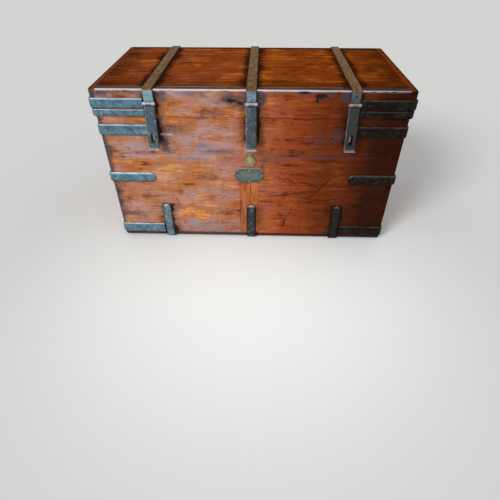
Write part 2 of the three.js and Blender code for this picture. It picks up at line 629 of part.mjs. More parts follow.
for (const [name, side] of [['left', -1], ['right', 1]]) {
  const face = halfWidth + seat;
  const oval = roundedRectangle(handlePlate.length, handlePlate.height, handlePlate.height / 2, 0, handleZ);
  let fixed = plate(oval, handlePlate.thick, -face, handlePlate.bevel);
  for (const end of [-1, 1]) {
    const x = end * lugMiddle;
    fixed = fixed.add(block(x - lug.length / 2, x + lug.length / 2, -halfWidth - bailAxis,
      -face - handlePlate.thick / 2, handleZ - lug.radius, handleZ + lug.radius));
    fixed = fixed.add(roundX(lug.radius, lug.length, x, -halfWidth - bailAxis, handleZ));
  }
  const bore = roundX(bail.rod + running, 2 * lugOuter + overrun, 0, -halfWidth - bailAxis, handleZ);
  fixed = fixed.subtract(bore);
  place(`${name}_handle_plate`, turnedToEnd(fixed, side), iron);

  const y = -halfWidth - bailAxis;
  const low = handleZ - bail.drop;
  const corners = [point(-bailEnd, y, handleZ), point(-bail.half, y, handleZ), point(-bail.half, y, low),
    point(bail.half, y, low), point(bail.half, y, handleZ), point(bailEnd, y, handleZ)];
  const rod = carried(rodSection(bail.rod), route(corners, bail.corner), alongY);
  place(`${name}_handle`, turnedToEnd(rod, side), iron);
}

export default group;
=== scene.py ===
# %% [markdown]
# An old travelling trunk: boards of reddish softwood under worn shellac, bound with forged
# iron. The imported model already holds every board, band, strap and hinge at its real place.
# This lesson gives them their finish, and adds what a smith and a joiner leave behind: hammered
# faces, nail heads, worn edges, chips and cracks. We start by loading the model as a fixed frame.

# %% Load the frame
import json
import math
import bmesh
import bpy
import numpy as np
from mathutils import Matrix, Vector

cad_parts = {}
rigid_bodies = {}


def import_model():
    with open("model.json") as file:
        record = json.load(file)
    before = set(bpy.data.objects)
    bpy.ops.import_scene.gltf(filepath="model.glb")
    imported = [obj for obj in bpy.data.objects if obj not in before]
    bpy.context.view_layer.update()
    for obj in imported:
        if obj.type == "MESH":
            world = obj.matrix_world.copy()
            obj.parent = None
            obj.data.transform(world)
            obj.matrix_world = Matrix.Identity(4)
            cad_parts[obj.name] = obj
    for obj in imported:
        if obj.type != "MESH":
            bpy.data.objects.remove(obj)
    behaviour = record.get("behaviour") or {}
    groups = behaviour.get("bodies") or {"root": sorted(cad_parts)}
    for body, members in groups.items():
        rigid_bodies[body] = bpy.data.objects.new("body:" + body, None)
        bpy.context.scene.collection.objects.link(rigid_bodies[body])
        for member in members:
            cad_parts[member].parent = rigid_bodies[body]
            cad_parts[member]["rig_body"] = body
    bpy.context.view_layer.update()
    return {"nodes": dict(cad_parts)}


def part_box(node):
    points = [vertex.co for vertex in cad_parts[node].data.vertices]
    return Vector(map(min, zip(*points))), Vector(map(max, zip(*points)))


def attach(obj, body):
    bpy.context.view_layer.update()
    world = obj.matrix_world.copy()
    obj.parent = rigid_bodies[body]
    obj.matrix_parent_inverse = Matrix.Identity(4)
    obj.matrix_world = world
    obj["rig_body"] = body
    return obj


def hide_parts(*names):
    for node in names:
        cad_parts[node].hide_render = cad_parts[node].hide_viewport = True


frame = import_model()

MM = 0.001

# %% [markdown]
# The camera stands where the photograph was taken: a little above the lid and close, so the
# upright edges lean together towards the floor. A place, three angles and a lens say it all.
# The angles are turned into the camera's own right, up and back directions, which are the
# columns of its matrix.

# %% Camera
CAMERA_PLACE = Vector((0.0306, -1.2633, 0.8282))
CAMERA_YAW = -0.034
CAMERA_PITCH = 0.705
CAMERA_ROLL = -0.003
CAMERA_LENS = 27.97
SENSOR_WIDTH = 36


def camera_matrix(place, yaw, pitch, roll):
    """forward = (sin yaw cos pitch, cos yaw cos pitch, -sin pitch); right is level and square
    to it, up is square to both, and roll turns right and up about forward."""
    forward = Vector((math.sin(yaw) * math.cos(pitch), math.cos(yaw) * math.cos(pitch),
                      -math.sin(pitch)))
    level = Vector((math.cos(yaw), -math.sin(yaw), 0))
    upright = level.cross(forward)
    right = level * math.cos(roll) + upright * math.sin(roll)
    up = upright * math.cos(roll) - level * math.sin(roll)
    return Matrix.Translation(place) @ Matrix((right, up, -forward)).transposed().to_4x4()


camera = bpy.data.objects.new("camera", bpy.data.cameras.new("camera"))
camera.data.lens = CAMERA_LENS
camera.data.sensor_width = SENSOR_WIDTH
camera.matrix_world = camera_matrix(CAMERA_PLACE, CAMERA_YAW, CAMERA_PITCH, CAMERA_ROLL)
bpy.context.scene.collection.objects.link(camera)
bpy.context.scene.camera = camera
print("camera at", tuple(round(v, 3) for v in CAMERA_PLACE))

# %% [markdown]
# Most finishes here are layers of noise turned into colour, roughness and bump. A small helper
# adds a shader node, sets its inputs and links it, so that each finish reads as a recipe.

# %% Shader helpers
class Recipe:
    """A material under construction: node() adds a node, and links any input that is a socket."""

    def __init__(self, name):
        """An empty material that is laid out on Object coordinates."""
        self.material = bpy.data.materials.new(name)
        self.material.use_nodes = True
        self.tree = self.material.node_tree
        self.tree.nodes.clear()
        self.place = self.node("ShaderNodeTexCoord").outputs["Object"]

    def node(self, kind, inputs=None, **settings):
        """A new node with its settings and inputs."""
        made = self.tree.nodes.new(kind)
        for key, value in settings.items():
            setattr(made, key, value)
        for key, value in (inputs or {}).items():
            self.feed(made.inputs[key], value)
        return made

    def feed(self, socket, value):
        """Links a socket, or keeps any other value as it is."""
        if isinstance(value, bpy.types.NodeSocket):
            self.tree.links.new(value, socket)
        else:
            socket.default_value = value

    def stretched(self, scale, shift=(0, 0, 0)):
        """Object coordinates, scaled and shifted."""
        made = self.node("ShaderNodeMapping", {"Vector": self.place, "Scale": scale,
                                               "Location": shift})
        return made.outputs["Vector"]

    def noise(self, vector, scale, detail, roughness, distortion=0.0):
        """Noise of about 0.3 to 0.7 over the vector."""
        made = self.node("ShaderNodeTexNoise", {"Vector": vector, "Scale": scale, "Detail": detail,
                                                "Roughness": roughness, "Distortion": distortion})
        return made.outputs["Fac"]

    def ramp(self, factor, stops, smooth=False):
        """A colour ramp; each stop is (place, grey) or (place, (r, g, b))."""
        made = self.node("ShaderNodeValToRGB", {"Fac": factor})
        if smooth:
            made.color_ramp.interpolation = "EASE"
        elements = made.color_ramp.elements
        while len(elements) < len(stops):
            elements.new(0.5)
        for element, (at, colour) in zip(elements, stops):
            element.position = at
            rgb = (colour, colour, colour) if isinstance(colour, (int, float)) else colour
            element.color = (*rgb, 1)
        return made.outputs["Color"]

    def mix(self, factor, low, high, blend="MIX"):
        """From low, where the factor is 0, to high, where it is 1."""
        made = self.node("ShaderNodeMix", data_type="RGBA", blend_type=blend)
        for at, value in ((0, factor), (6, low), (7, high)):
            if not isinstance(value, bpy.types.NodeSocket) and at > 0:
                value = (*value, 1) if isinstance(value, tuple) else (value, value, value, 1)
            self.feed(made.inputs[at], value)
        return made.outputs[2]

    def math(self, operation, first, second=0.0, third=0.0, clamp=False):
        """One sum, difference or other step of arithmetic."""
        made = self.node("ShaderNodeMath", operation=operation, use_clamp=clamp)
        for at, value in enumerate((first, second, third)):
            self.feed(made.inputs[at], value)
        return made.outputs[0]

    def axis(self, name):
        """One of the Object coordinates, in metres."""
        return self.node("ShaderNodeSeparateXYZ", {"Vector": self.place}).outputs[name]

    def fade(self, value, start, end):
        """0 before start, 1 after end and a smooth rise between them."""
        inputs = {"Value": value, "From Min": start, "From Max": end}
        made = self.node("ShaderNodeMapRange", inputs, interpolation_type="SMOOTHSTEP")
        return made.outputs["Result"]

    def about_zero(self, noise):
        """The noise less its middle value."""
        return self.math("SUBTRACT", noise, 0.5)

    def without(self, share):
        """What is left of 1 after the share."""
        return self.math("SUBTRACT", 1.0, share)

    def attribute(self, name):
        """A number kept on the mesh for each point; 0 where the mesh has none of that name."""
        return self.node("ShaderNodeAttribute", attribute_name=name).outputs["Fac"]

    def blend(self, *parts):
        """The sum of (weight, value) pairs."""
        total = 0.0
        for weight, value in parts:
            total = self.math("MULTIPLY_ADD", value, weight, total)
        return total

    def times(self, *values):
        """The product of the values."""
        product = values[0]
        for value in values[1:]:
            product = self.math("MULTIPLY", product, value)
        return product

    def bump(self, height, distance, strength):
        """A normal that follows the height, whose full swing is distance."""
        inputs = {"Height": height, "Distance": distance, "Strength": strength}
        return self.node("ShaderNodeBump", inputs).outputs["Normal"]

    def finish(self, **inputs):
        """Closes the recipe: the inputs go to a Principled shader, with _ for the spaces."""
        named = {key.replace("_", " "): value for key, value in inputs.items()}
        shader = self.node("ShaderNodeBsdfPrincipled", named)
        self.node("ShaderNodeOutputMaterial", {"Surface": shader.outputs["BSDF"]})
        return self.material


print("recipe helper ready")

# %% [markdown]
# Wood under old shellac is not one brown. Growth rings run with the board as long pale and dark
# streaks, blotches of stain lie across them, and pores show as short dark lines. Where hands and
# damp have been, the shellac blooms to pink and lilac grey. Over the left this haze is also a
# painted sheen, the light that the gloss reflects. Each of these is one noise, stretched or not,
# turned into colour by a ramp. The grain follows the board's length, so the recipe is told which
# way that is. Four numbers come from the mesh. Cut is 1 in a crack or hole, where wax and dust
# settle dark. Wear is 1 on a rubbed rim, where the bare wood shines with a painted highlight.
# Stain is 1 in a patch that iron or damp has turned slate grey, and bloom is 1 where the haze and
# its painted sheen are thick. Iron blackens the wood beside it too, and on the front a painted
# shadow falls to the right of each strap, so the tone falls near the three straps.

# %% Wood, streak by streak
GRAIN = {"X": (1.0, 9.0, 9.0), "Y": (9.0, 1.0, 9.0), "Z": (9.0, 9.0, 1.0)}
BRUSHED = {"X": (4.0, 4.0, 1.0), "Y": (4.0, 4.0, 1.0), "Z": (1.0, 4.0, 4.0)}
HAZE_STRETCH = (1.0, 1.0, 1.7)
# Each noise: scale, detail, roughness, distortion.
RINGS = (7.0, 8.0, 0.66, 0.9)
FINE = (34.0, 6.0, 0.72, 0.3)
BLOTCH = (15.0, 6.0, 0.66, 0.5)
SPECK = (70.0, 5.0, 0.66, 0.2)
BROAD_HAZE = (9.0, 5.0, 0.6, 0.9)
BRUSHED_HAZE = (24.0, 5.0, 0.6, 0.4)
# Pink and lilac: shellac bloom, with a painted sheen of reflected light.
PINK_HAZE_AND_SHEEN = (0.425, 0.270, 0.258)
LILAC_HAZE_AND_SHEEN = (0.315, 0.275, 0.342)
SLATE = (0.052, 0.046, 0.062)
# Bare wood on worn rims, as pale as a painted highlight.
BARE_AND_HIGHLIGHT = (0.62, 0.54, 0.55)
# Black wax and dirt, also used for painted shade and painted shadow.
BLACK_WAX_AND_SHADE = (0.012, 0.004, 0.002)


def streaks(r, along, stain, calm):
    """Rings and fine grain are noise stretched along the board, and blotches are not. Their sum
    runs through a ramp from the stain's dark over its middle to its light; then come dark specks
    and pores, fewer where it is calm. Returns the tone and the noises for others to use."""
    dark, middle, light = stain
    flow = r.stretched(GRAIN[along], shift=(0.37, 0.11, 0.23))
    rings, fine = r.noise(flow, *RINGS), r.noise(flow, *FINE)
    blotch, speck = r.noise(r.place, *BLOTCH), r.noise(r.place, *SPECK)
    mixed = r.blend((0.42, rings), (0.24, fine), (0.34, blotch))
    tone = r.ramp(mixed, [(0.41, dark), (0.475, middle), (0.52, middle), (0.60, light)])
    tone = r.mix(r.times(r.ramp(speck, [(0.33, 0.40), (0.42, 0.0)]), calm), tone, dark)
    tone = r.mix(r.times(r.ramp(fine, [(0.33, 0.30), (0.44, 0.0)]), calm), tone, dark)
    return tone, rings, fine, blotch, speck


def hazed_with_sheen(r, along, tone, fine, blotch, share):
    """Bloom with its painted sheen in broad patches, finely streaked with the grain and brushed
    across it, over share.
    """
    broad = r.noise(r.stretched(HAZE_STRETCH, shift=(2.1, 0.4, 1.3)), *BROAD_HAZE)
    brushed = r.noise(r.stretched(BRUSHED[along]), *BRUSHED_HAZE)
    amount = r.blend((0.50, broad), (0.27, fine), (0.23, brushed))
    patches = r.ramp(amount, [(0.43, 0.0), (0.55, 1.0)], smooth=True)
    bloom_and_sheen = r.mix(r.ramp(blotch, [(0.43, 0.0), (0.57, 1.0)]), PINK_HAZE_AND_SHEEN, LILAC_HAZE_AND_SHEEN)
    return r.mix(r.times(patches, share), tone, bloom_and_sheen)


print("haze and stain:", PINK_HAZE_AND_SHEEN, LILAC_HAZE_AND_SHEEN, SLATE)

# %% [markdown]
# Where the dirt and the painted shadow lie depends on the place, so the next recipes fade from
# one coordinate to another. The spans are in metres. A span that runs downwards fades the other
# way.

# %% Wood, place by place
STRAP_AT = 0.274
# On the front the darkening leans to the right of each strap: a painted shadow.
STRAP_LEAN = 0.0025
NEAR_STRAP, BESIDE_STRAP, NEAR_LID_STRAP = (0.050, 0.014), (0.022, 0.014), (0.040, 0.017)
CLEAN_BELOW, CLEAN_ABOVE = (0.345, 0.325), (0.125, 0.140)
LID_OUTSIDE_Z = (0.480, 0.486)
BODY_OUTSIDE_Y = (0.212, 0.217)
LID_FRONT_Y = (-0.120, -0.200)
RAIL_Y = (-0.1995, -0.2015)
JOINT_FRONT_Y, JOINT_BACK_Y = (-0.2020, -0.2005), (-0.1975, -0.1990)
JOINT_X = (0.55, -0.25)
RIM_WIDE_X, RIM_X = (0.30, 0.42), (0.417, 0.431)
CREST_Z = (0.4880, 0.4897)
CREST_EDGE_X = (0.4255, 0.4310)
RAIL_TONE = (0.030, 0.008, 0.004)
PALE_JOINT = (0.36, 0.24, 0.15)
CREST_DARK, CREST_LIGHT = (0.055, 0.011, 0.002), (0.175, 0.042, 0.007)


def strap_grime_and_shadow(r, speck, blotch, lid):
    """1 beside a strap, falling to 0: the least distance to the three strap lines, made ragged by
    noise. On the lid a strap runs all along; on the front it lies only near top and bottom, and
    there the lines lean to the right, so it is grime with a painted shadow on that side. The
    inner faces stay clean."""
    x, y, z = r.axis("X"), r.axis("Y"), r.axis("Z")
    lean = 0.0 if lid else STRAP_LEAN
    gaps = [r.math("ABSOLUTE", r.math("SUBTRACT", x, at + lean))
            for at in (-STRAP_AT, 0.0, STRAP_AT)]
    gap = r.math("MINIMUM", r.math("MINIMUM", gaps[0], gaps[1]), gaps[2])
    if lid:
        ragged = r.blend((1.0, gap), (0.05, r.about_zero(blotch)))
        return r.times(r.fade(ragged, *NEAR_LID_STRAP), r.fade(z, *LID_OUTSIDE_Z))
    free = r.times(r.fade(z, *CLEAN_BELOW), r.fade(z, *CLEAN_ABOVE))
    ragged = r.blend((1.0, gap), (0.02, r.about_zero(speck)), (0.05, r.about_zero(blotch)))
    near = r.blend((0.5, r.fade(ragged, *NEAR_STRAP)), (0.5, r.fade(ragged, *BESIDE_STRAP)))
    return r.times(near, r.without(free), r.fade(r.math("ABSOLUTE", y), *BODY_OUTSIDE_Y))


def lid_edges(r, tone, dark, rings):
    """The front strip of the lid is dark up to a thin pale joint, and all its rims are dark."""
    x, y = r.axis("X"), r.axis("Y")
    wander = r.about_zero(rings)
    tone = r.mix(r.times(r.fade(r.blend((1.0, y), (0.16, wander)), *LID_FRONT_Y), 0.6), tone, dark)
    tone = r.mix(r.times(r.fade(y, *RAIL_Y), 0.75), tone, RAIL_TONE)
    joint = r.times(r.fade(y, *JOINT_FRONT_Y), r.fade(y, *JOINT_BACK_Y), r.fade(x, *JOINT_X))
    tone = r.mix(r.times(joint, 0.75), tone, PALE_JOINT)
    off = r.blend((1.0, r.math("ABSOLUTE", x)), (0.05, wander))
    rim = r.blend((0.55, r.fade(off, *RIM_WIDE_X)), (0.35, r.fade(off, *RIM_X)))
    return r.mix(rim, tone, BLACK_WAX_AND_SHADE)


def crest(r, along, tone, fine):
    """The top of the lid's rails is black with wax; along the sides it is brown like the planks,
    and black only near the outer edge."""
    top = r.fade(r.axis("Z"), *CREST_Z)
    if along != "Y":
        return r.mix(r.times(top, 0.88), tone, BLACK_WAX_AND_SHADE)
    brown = r.mix(r.ramp(fine, [(0.35, 0.0), (0.65, 1.0)]), CREST_DARK, CREST_LIGHT)
    tone = r.mix(r.times(top, 0.85), tone, brown)
    edge = r.fade(r.math("ABSOLUTE", r.axis("X")), *CREST_EDGE_X)
    return r.mix(r.times(top, edge, 0.8), tone, BLACK_WAX_AND_SHADE)


print("places of dirt: straps at", STRAP_AT, "lid crest above", CREST_Z[0])

# %% [markdown]
# The whole wood stacks these: streaks, a deeper tone to the right and a darker far right, both
# painted shade, haze on the left that is bloom and painted sheen, dark edges, grime with a painted
# shadow beside the straps, and at last what the mesh says. The six woods differ in their stain and
# in how much of each they take.

# %% The woods
HAZE_AND_SHEEN_X, DEEPER_X, WEAR_AND_HIGHLIGHT_X = (0.22, -0.28), (-0.20, 0.16), (0.75, -0.10)
FAR_X, FARTHEST_X, FAR_END_Y = (0.05, 0.25), (0.25, 0.37), (-0.15, -0.20)
FOOT_Z, LEFT_CORNER_X, CORNER_Y = (0.022, 0.015), (-0.412, -0.427), (-0.208, -0.216)
BEHIND_RIM_Y = (-0.2215, -0.2190)
# The first two tones are painted shade towards the right; the third darkens the foot.
DEEPER_SHADE, FAR_SHADE_TONE, FOOT_TONE = (0.70, 0.39, 0.27), (0.010, 0.003, 0.002), (0.035, 0.011, 0.006)
WOOD_RELIEF = 0.0009


def darkened(r, along, tone, fine, blotch, shade, lid):
    """Painted shade falls over the far right in two steps, on an end board only near the front. The
    foot, the left corner and the crest of the lid's rails are darker too."""
    x, y, z = r.axis("X"), r.axis("Y"), r.axis("Z")
    wander = r.about_zero(blotch)
    # Painted shade, in two steps towards the far right.
    far = r.blend((0.68, r.fade(r.blend((1.0, x), (0.12, wander)), *FAR_X)),
                  (0.31, r.fade(x, *FARTHEST_X)))
    if along == "Y":
        far = r.times(far, r.fade(y, *FAR_END_Y))
    tone = r.mix(r.times(far, shade), tone, FAR_SHADE_TONE)
    if lid:
        return tone
    tone = r.mix(r.times(r.fade(z, *FOOT_Z), 0.85), tone, FOOT_TONE)
    corner = r.times(r.fade(r.blend((1.0, x), (0.03, wander)), *LEFT_CORNER_X),
                     r.fade(y, *CORNER_Y))
    tone = r.mix(r.times(corner, 0.85), tone, SLATE)
    return crest(r, along, tone, fine)


def marked(r, tone, fine, speck):
    """What the mesh says: stains, cuts, and worn places, which on top end close behind the rim; the
    worn places carry a painted highlight that fades out to the right.
    """
    stained = r.times(r.attribute("stain"), r.ramp(speck, [(0.36, 1.0), (0.60, 0.6)]))
    tone = r.mix(stained, tone, SLATE)
    tone = r.mix(r.times(r.attribute("cut"), 0.86), tone, BLACK_WAX_AND_SHADE)
    behind = r.times(r.fade(r.axis("Z"), *CREST_Z), r.fade(r.axis("Y"), *BEHIND_RIM_Y))
    # Worn rims with a painted highlight, fading out towards the right.
    worn = r.times(r.attribute("wear"), r.ramp(fine, [(0.30, 0.55), (0.50, 1.0)]),
                   r.fade(r.axis("X"), *WEAR_AND_HIGHLIGHT_X), r.without(behind))
    return r.mix(worn, tone, BARE_AND_HIGHLIGHT)


def wood(name, along, stain, haze_and_sheen=0.0, shade=0.0, deepen_in_shade=0.0, grime_and_shadow=0.0, gloss=0.36, shine=0.03,
         lid=False):
    """The grain runs along one axis. The haze lays the bloom with its painted sheen over the left,
    the deepening multiplies the tone towards the right as painted shade, the shade paints shade
    over the far right, and the grime darkens beside the straps, with a painted shadow on the front.
    gloss is the roughness, and shine the strength of the mirror on top."""
    r = Recipe(name)
    x = r.axis("X")
    # The left takes bloom and a painted sheen, the light that the gloss reflects.
    left = r.fade(x, *HAZE_AND_SHEEN_X)
    calm = r.without(r.times(left, haze_and_sheen * 0.8))
    tone, rings, fine, blotch, speck = streaks(r, along, stain, calm)
    # Painted shade: a deeper tone towards the right.
    if deepen_in_shade:
        tone = r.mix(r.times(r.fade(x, *DEEPER_X), deepen_in_shade), tone, DEEPER_SHADE, "MULTIPLY")
    if haze_and_sheen:
        share = r.math("ADD", r.attribute("bloom_and_sheen"), 0.4, clamp=True)
        tone = hazed_with_sheen(r, along, tone, fine, blotch, r.times(left, haze_and_sheen, share))
    if lid:
        tone = lid_edges(r, tone, stain[0], rings)
    # Painted shade over the far right, with the darker foot, corner and crest.
    if shade:
        tone = darkened(r, along, tone, fine, blotch, shade, lid)
    # Grime beside the straps, with a painted shadow to their right on the front.
    if grime_and_shadow:
        tone = r.mix(r.times(strap_grime_and_shadow(r, speck, blotch, lid), grime_and_shadow), tone, BLACK_WAX_AND_SHADE)
    tone = marked(r, tone, fine, speck)
    rough = r.ramp(blotch, [(0.3, gloss - 0.08), (0.7, gloss + 0.16)])
    height = r.blend((0.7, fine), (0.8, rings), (0.5, speck))
    return r.finish(Base_Color=tone, Roughness=rough, Specular_IOR_Level=shine,
                    Normal=r.bump(height, WOOD_RELIEF, 0.6))


FRONT_STAIN = ((0.115, 0.032, 0.016), (0.42, 0.138, 0.038), (0.72, 0.32, 0.085))
LID_STAIN = ((0.050, 0.012, 0.003), (0.215, 0.042, 0.005), (0.48, 0.135, 0.012))
BARE_WOOD = ((0.14, 0.075, 0.035), (0.30, 0.18, 0.095), (0.42, 0.28, 0.16))
front_wood = wood("front_wood", "X", FRONT_STAIN, haze_and_sheen=0.85, shade=0.95, deepen_in_shade=1.0, grime_and_shadow=0.95)
end_wood = wood("end_wood", "Y", FRONT_STAIN, haze_and_sheen=0.7, shade=0.95, deepen_in_shade=1.0, shine=0.0)
back_wood = wood("back_wood", "X", FRONT_STAIN, haze_and_sheen=0.35, deepen_in_shade=0.8, grime_and_shadow=0.6)
patch_wood = wood("patch_wood", "Z", FRONT_STAIN, haze_and_sheen=0.35, deepen_in_shade=1.0, grime_and_shadow=0.4)
lid_wood = wood("lid_wood", "X", LID_STAIN, haze_and_sheen=0.10, shade=0.25, grime_and_shadow=0.85, shine=0.0, lid=True)
inner_wood = wood("inner_wood", "X", BARE_WOOD, gloss=0.62)
print("woods:", len([m for m in bpy.data.materials if m.name.endswith("wood")]))

# %% [markdown]
# Forged iron keeps a skin of blue-black scale. Its hammered face is mottled and rust creeps out
# of the hollows. Towards the left of this trunk a painted reflection of the sky turns it a pale
# steel blue, and towards the right painted shade makes it nearly black. One recipe holds all of
# it: a cellular noise for the hammer marks, a fine one for the pitting, and ramps that blend
# scale, rust, bright metal and a painted glint. From the mesh come wear, on the edges that hands
# and dusters reach, with a painted highlight on the edges that face the light, and cut, along
# the edges where dirt lies and painted shade falls. The lid straps are olive brown under wax on
# top, and steel where they turn down.

# %% Iron and brass
HAMMER_SCALE = 110.0
WAVES, PITS, RUST_STAINS = (90.0, 5.0, 0.65, 0.4), (420.0, 4.0, 0.65), (26.0, 6.0, 0.68, 0.5)
WAX_GRAIN = (30.0, 5.0, 0.6)
LIT_X, GLINT_X = (-0.05, 0.34), (0.50, 0.0)
STRAP_TOP_Z = (0.4872, 0.4900)
IRON_RELIEF = 0.0010


def iron(name, left, right, rust, bright, dull, rough=0.42, waxed=None, metal=0.6, shine=0.2,
         span=(-0.20, 0.30)):
    """The tone goes from left to right over the span of x: a painted reflection on the left,
    painted shade on the right. Mottling and rust are laid over it by noise, a painted glint over
    the left, and the rubbed metal with its painted highlight, from bright at the left to dull at
    the right, by wear. waxed has the dark, middle and light tone of a wax film on the strap's top."""
    r = Recipe(name)
    dents = r.node("ShaderNodeTexVoronoi", {"Vector": r.place, "Scale": HAMMER_SCALE,
                                            "Randomness": 1.0}, feature="SMOOTH_F1")
    waves, pits = r.noise(r.place, *WAVES), r.noise(r.place, *PITS)
    stains = r.noise(r.place, *RUST_STAINS)
    x, z = r.axis("X"), r.axis("Z")
    # Painted reflection on the left, painted shade on the right.
    tone = r.mix(r.fade(x, *span), left, right)
    tone = r.mix(r.ramp(waves, [(0.36, 0.45), (0.50, 0.0)]), tone, rust)
    tone = r.mix(r.ramp(stains, [(0.36, 0.5), (0.50, 0.0)]), tone, rust)
    # Rubbed metal with a painted highlight, bright on the left and dull on the right.
    lit = r.mix(r.fade(x, *LIT_X), bright, dull)
    # A painted glint over the left.
    glint = r.times(r.ramp(waves, [(0.54, 0.0), (0.74, 0.35)]), r.fade(x, *GLINT_X))
    tone = r.mix(glint, tone, lit)
    if waxed:
        grain = r.noise(r.stretched((9.0, 1.0, 1.0)), *WAX_GRAIN)
        film = r.ramp(grain, [(0.36, waxed[0]), (0.50, waxed[1]), (0.66, waxed[2])])
        on_top = r.fade(z, *STRAP_TOP_Z)
        tone, lit = r.mix(on_top, tone, film), r.mix(on_top, lit, waxed[2])
    # Wear and painted highlight, from the mesh.
    bare_and_highlit = r.times(r.attribute("wear"), r.ramp(pits, [(0.30, 0.60), (0.60, 1.0)]))
    tone = r.mix(bare_and_highlit, tone, lit)
    # Dirt and painted shade, from the mesh.
    tone = r.mix(r.times(r.attribute("cut"), 0.85), tone, BLACK_WAX_AND_SHADE)
    roughness = r.ramp(stains, [(0.3, rough + 0.22), (0.6, rough), (0.8, rough - 0.08)])
    height = r.blend((0.8, dents.outputs["Distance"]), (0.25, pits), (1.0, waves))
    return r.finish(Base_Color=tone, Roughness=roughness, Metallic=metal, Specular_IOR_Level=shine,
                    Normal=r.bump(height, IRON_RELIEF, 0.45))


# Steel with a painted sky reflection on the left, and in painted shade on the right.
STEEL_LEFT_REFLECTING, STEEL_RIGHT_SHADED = (0.108, 0.215, 0.280), (0.008, 0.005, 0.003)
RUST = (0.030, 0.030, 0.032)
# Rubbed metal with its painted highlight, pale on the left and dull on the right.
PALE_WEAR_AND_HIGHLIGHT, DULL_WEAR_AND_HIGHLIGHT = (0.62, 0.72, 0.78), (0.125, 0.095, 0.070)
WAXED = ((0.070, 0.034, 0.009), (0.130, 0.064, 0.016), (0.25, 0.13, 0.040))
band_iron = iron("band_iron", STEEL_LEFT_REFLECTING, STEEL_RIGHT_SHADED, RUST, PALE_WEAR_AND_HIGHLIGHT, DULL_WEAR_AND_HIGHLIGHT, metal=0.45, shine=0.08)
# Below too: painted reflection left, painted shade right, rubbed metal with painted highlight.
strap_iron = iron("strap_iron", (0.125, 0.185, 0.225), (0.012, 0.010, 0.010),
                  (0.016, 0.012, 0.010), PALE_WEAR_AND_HIGHLIGHT, (0.15, 0.13, 0.12), metal=0.45, shine=0.08,
                  span=(-0.26, 0.06))
hasp_iron = iron("hasp_iron", (0.085, 0.125, 0.155), (0.042, 0.044, 0.046), RUST,
                 (0.52, 0.50, 0.50), (0.36, 0.30, 0.25))
lid_strap_iron = iron("lid_strap_iron", (0.225, 0.370, 0.440), (0.080, 0.090, 0.095), RUST,
                      (0.52, 0.49, 0.49), (0.40, 0.32, 0.26), waxed=WAXED, metal=0.25, shine=0.05)
bright_iron = iron("bright_iron", (0.42, 0.45, 0.45), (0.34, 0.33, 0.30), (0.14, 0.09, 0.05),
                   (0.66, 0.68, 0.67), (0.50, 0.47, 0.42), rough=0.34)
plate_iron = iron("plate_iron", (0.100, 0.122, 0.112), (0.100, 0.118, 0.098), (0.060, 0.060, 0.048),
                  (0.42, 0.46, 0.40), (0.42, 0.46, 0.40))
old_brass = iron("old_brass", (0.290, 0.225, 0.125), (0.290, 0.225, 0.125), (0.110, 0.100, 0.060),
                 (0.60, 0.52, 0.30), (0.60, 0.52, 0.30), rough=0.38)
print("metals ready")

# %% [markdown]
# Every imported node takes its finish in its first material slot. Its name says which finish that
# is. Where a node's shape is already right, it stays to the end; the others get a finer piece in
# the cells after this one, which stands in the node's place.

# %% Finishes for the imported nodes
def finish_of(name):
    """The material for a node, by the words in its name."""
    if "plank" in name:
        return lid_wood
    if "rail" in name:
        return end_wood if "left" in name or "right" in name else front_wood
    if name.startswith("bottom"):
        return inner_wood
    if name.endswith("end_board"):
        return end_wood
    if name == "front_patch":
        return patch_wood
    if name.endswith("_board"):
        return back_wood if name.startswith("back") else front_wood
    if name in ("keyhole_plate", "keyhole_cover", "cover_rivet"):
        return old_brass
    if name == "name_plate":
        return plate_iron
    if name.endswith("_pin") or name.endswith("staple") or name == "lock_bolt":
        return bright_iron
    return band_iron


def paint(piece, material):
    """One material in the first slot."""
    piece.data.materials.clear()
    piece.data.materials.append(material)


for name, node in frame["nodes"].items():
    paint(node, finish_of(name))
print("painted", len(frame["nodes"]), "nodes")

# %% [markdown]
# Forged pieces are never quite flat. To give each band and strap a hammered face we do not
# sculpt: we work its surface out. A bar is a section carried along a route, so every point
# follows from two numbers, how far along the bar it is and how far round the section. With
# numpy a whole bar is one array expression. These helpers hold the formulas.

# %% Surfaces from two numbers
def ripple(u, v, seed, pitch, waves=10):
    """Smooth unevenness of about -1 to 1: the sum of plane waves over u and v. The direction,
    pitch and phase of each wave come from a seeded draw, so each run gives the same surface."""
    draw = np.random.default_rng(seed)
    turn = draw.uniform(0, np.pi, waves)
    rate = 2 * np.pi / (pitch * draw.uniform(0.7, 2.2, waves))
    phase = draw.uniform(0, 2 * np.pi, waves)
    across = np.multiply.outer(u, np.cos(turn) * rate) + np.multiply.outer(v, np.sin(turn) * rate)
    return np.sin(across + phase).sum(-1) * 0.7 / math.sqrt(waves)


def new_piece(name, points, faces, material, **numbers):
    """A mesh object at the origin. Its faces are turned outwards if their volume is negative. Each
    of the numbers, such as wear, has a value for each point, and is kept as an attribute of that
    name for the material to read."""
    mesh = bpy.data.meshes.new(name)
    mesh.from_pydata(np.asarray(points).reshape(-1, 3).tolist(), [], faces)
    shell = bmesh.new()
    shell.from_mesh(mesh)
    if shell.calc_volume(signed=True) < 0:
        bmesh.ops.reverse_faces(shell, faces=shell.faces)
    shell.to_mesh(mesh)
    shell.free()
    # Wear also holds painted highlights, and cut also holds painted shade.
    for title, values in ({"wear": 0.0} | numbers).items():
        values = np.broadcast_to(values, len(mesh.vertices)).astype(np.float32)
        mesh.attributes.new(title, "FLOAT", "POINT").data.foreach_set("value", values)
    made = bpy.data.objects.new(name, mesh)
    bpy.context.scene.collection.objects.link(made)
    dress(made, material)
    return made


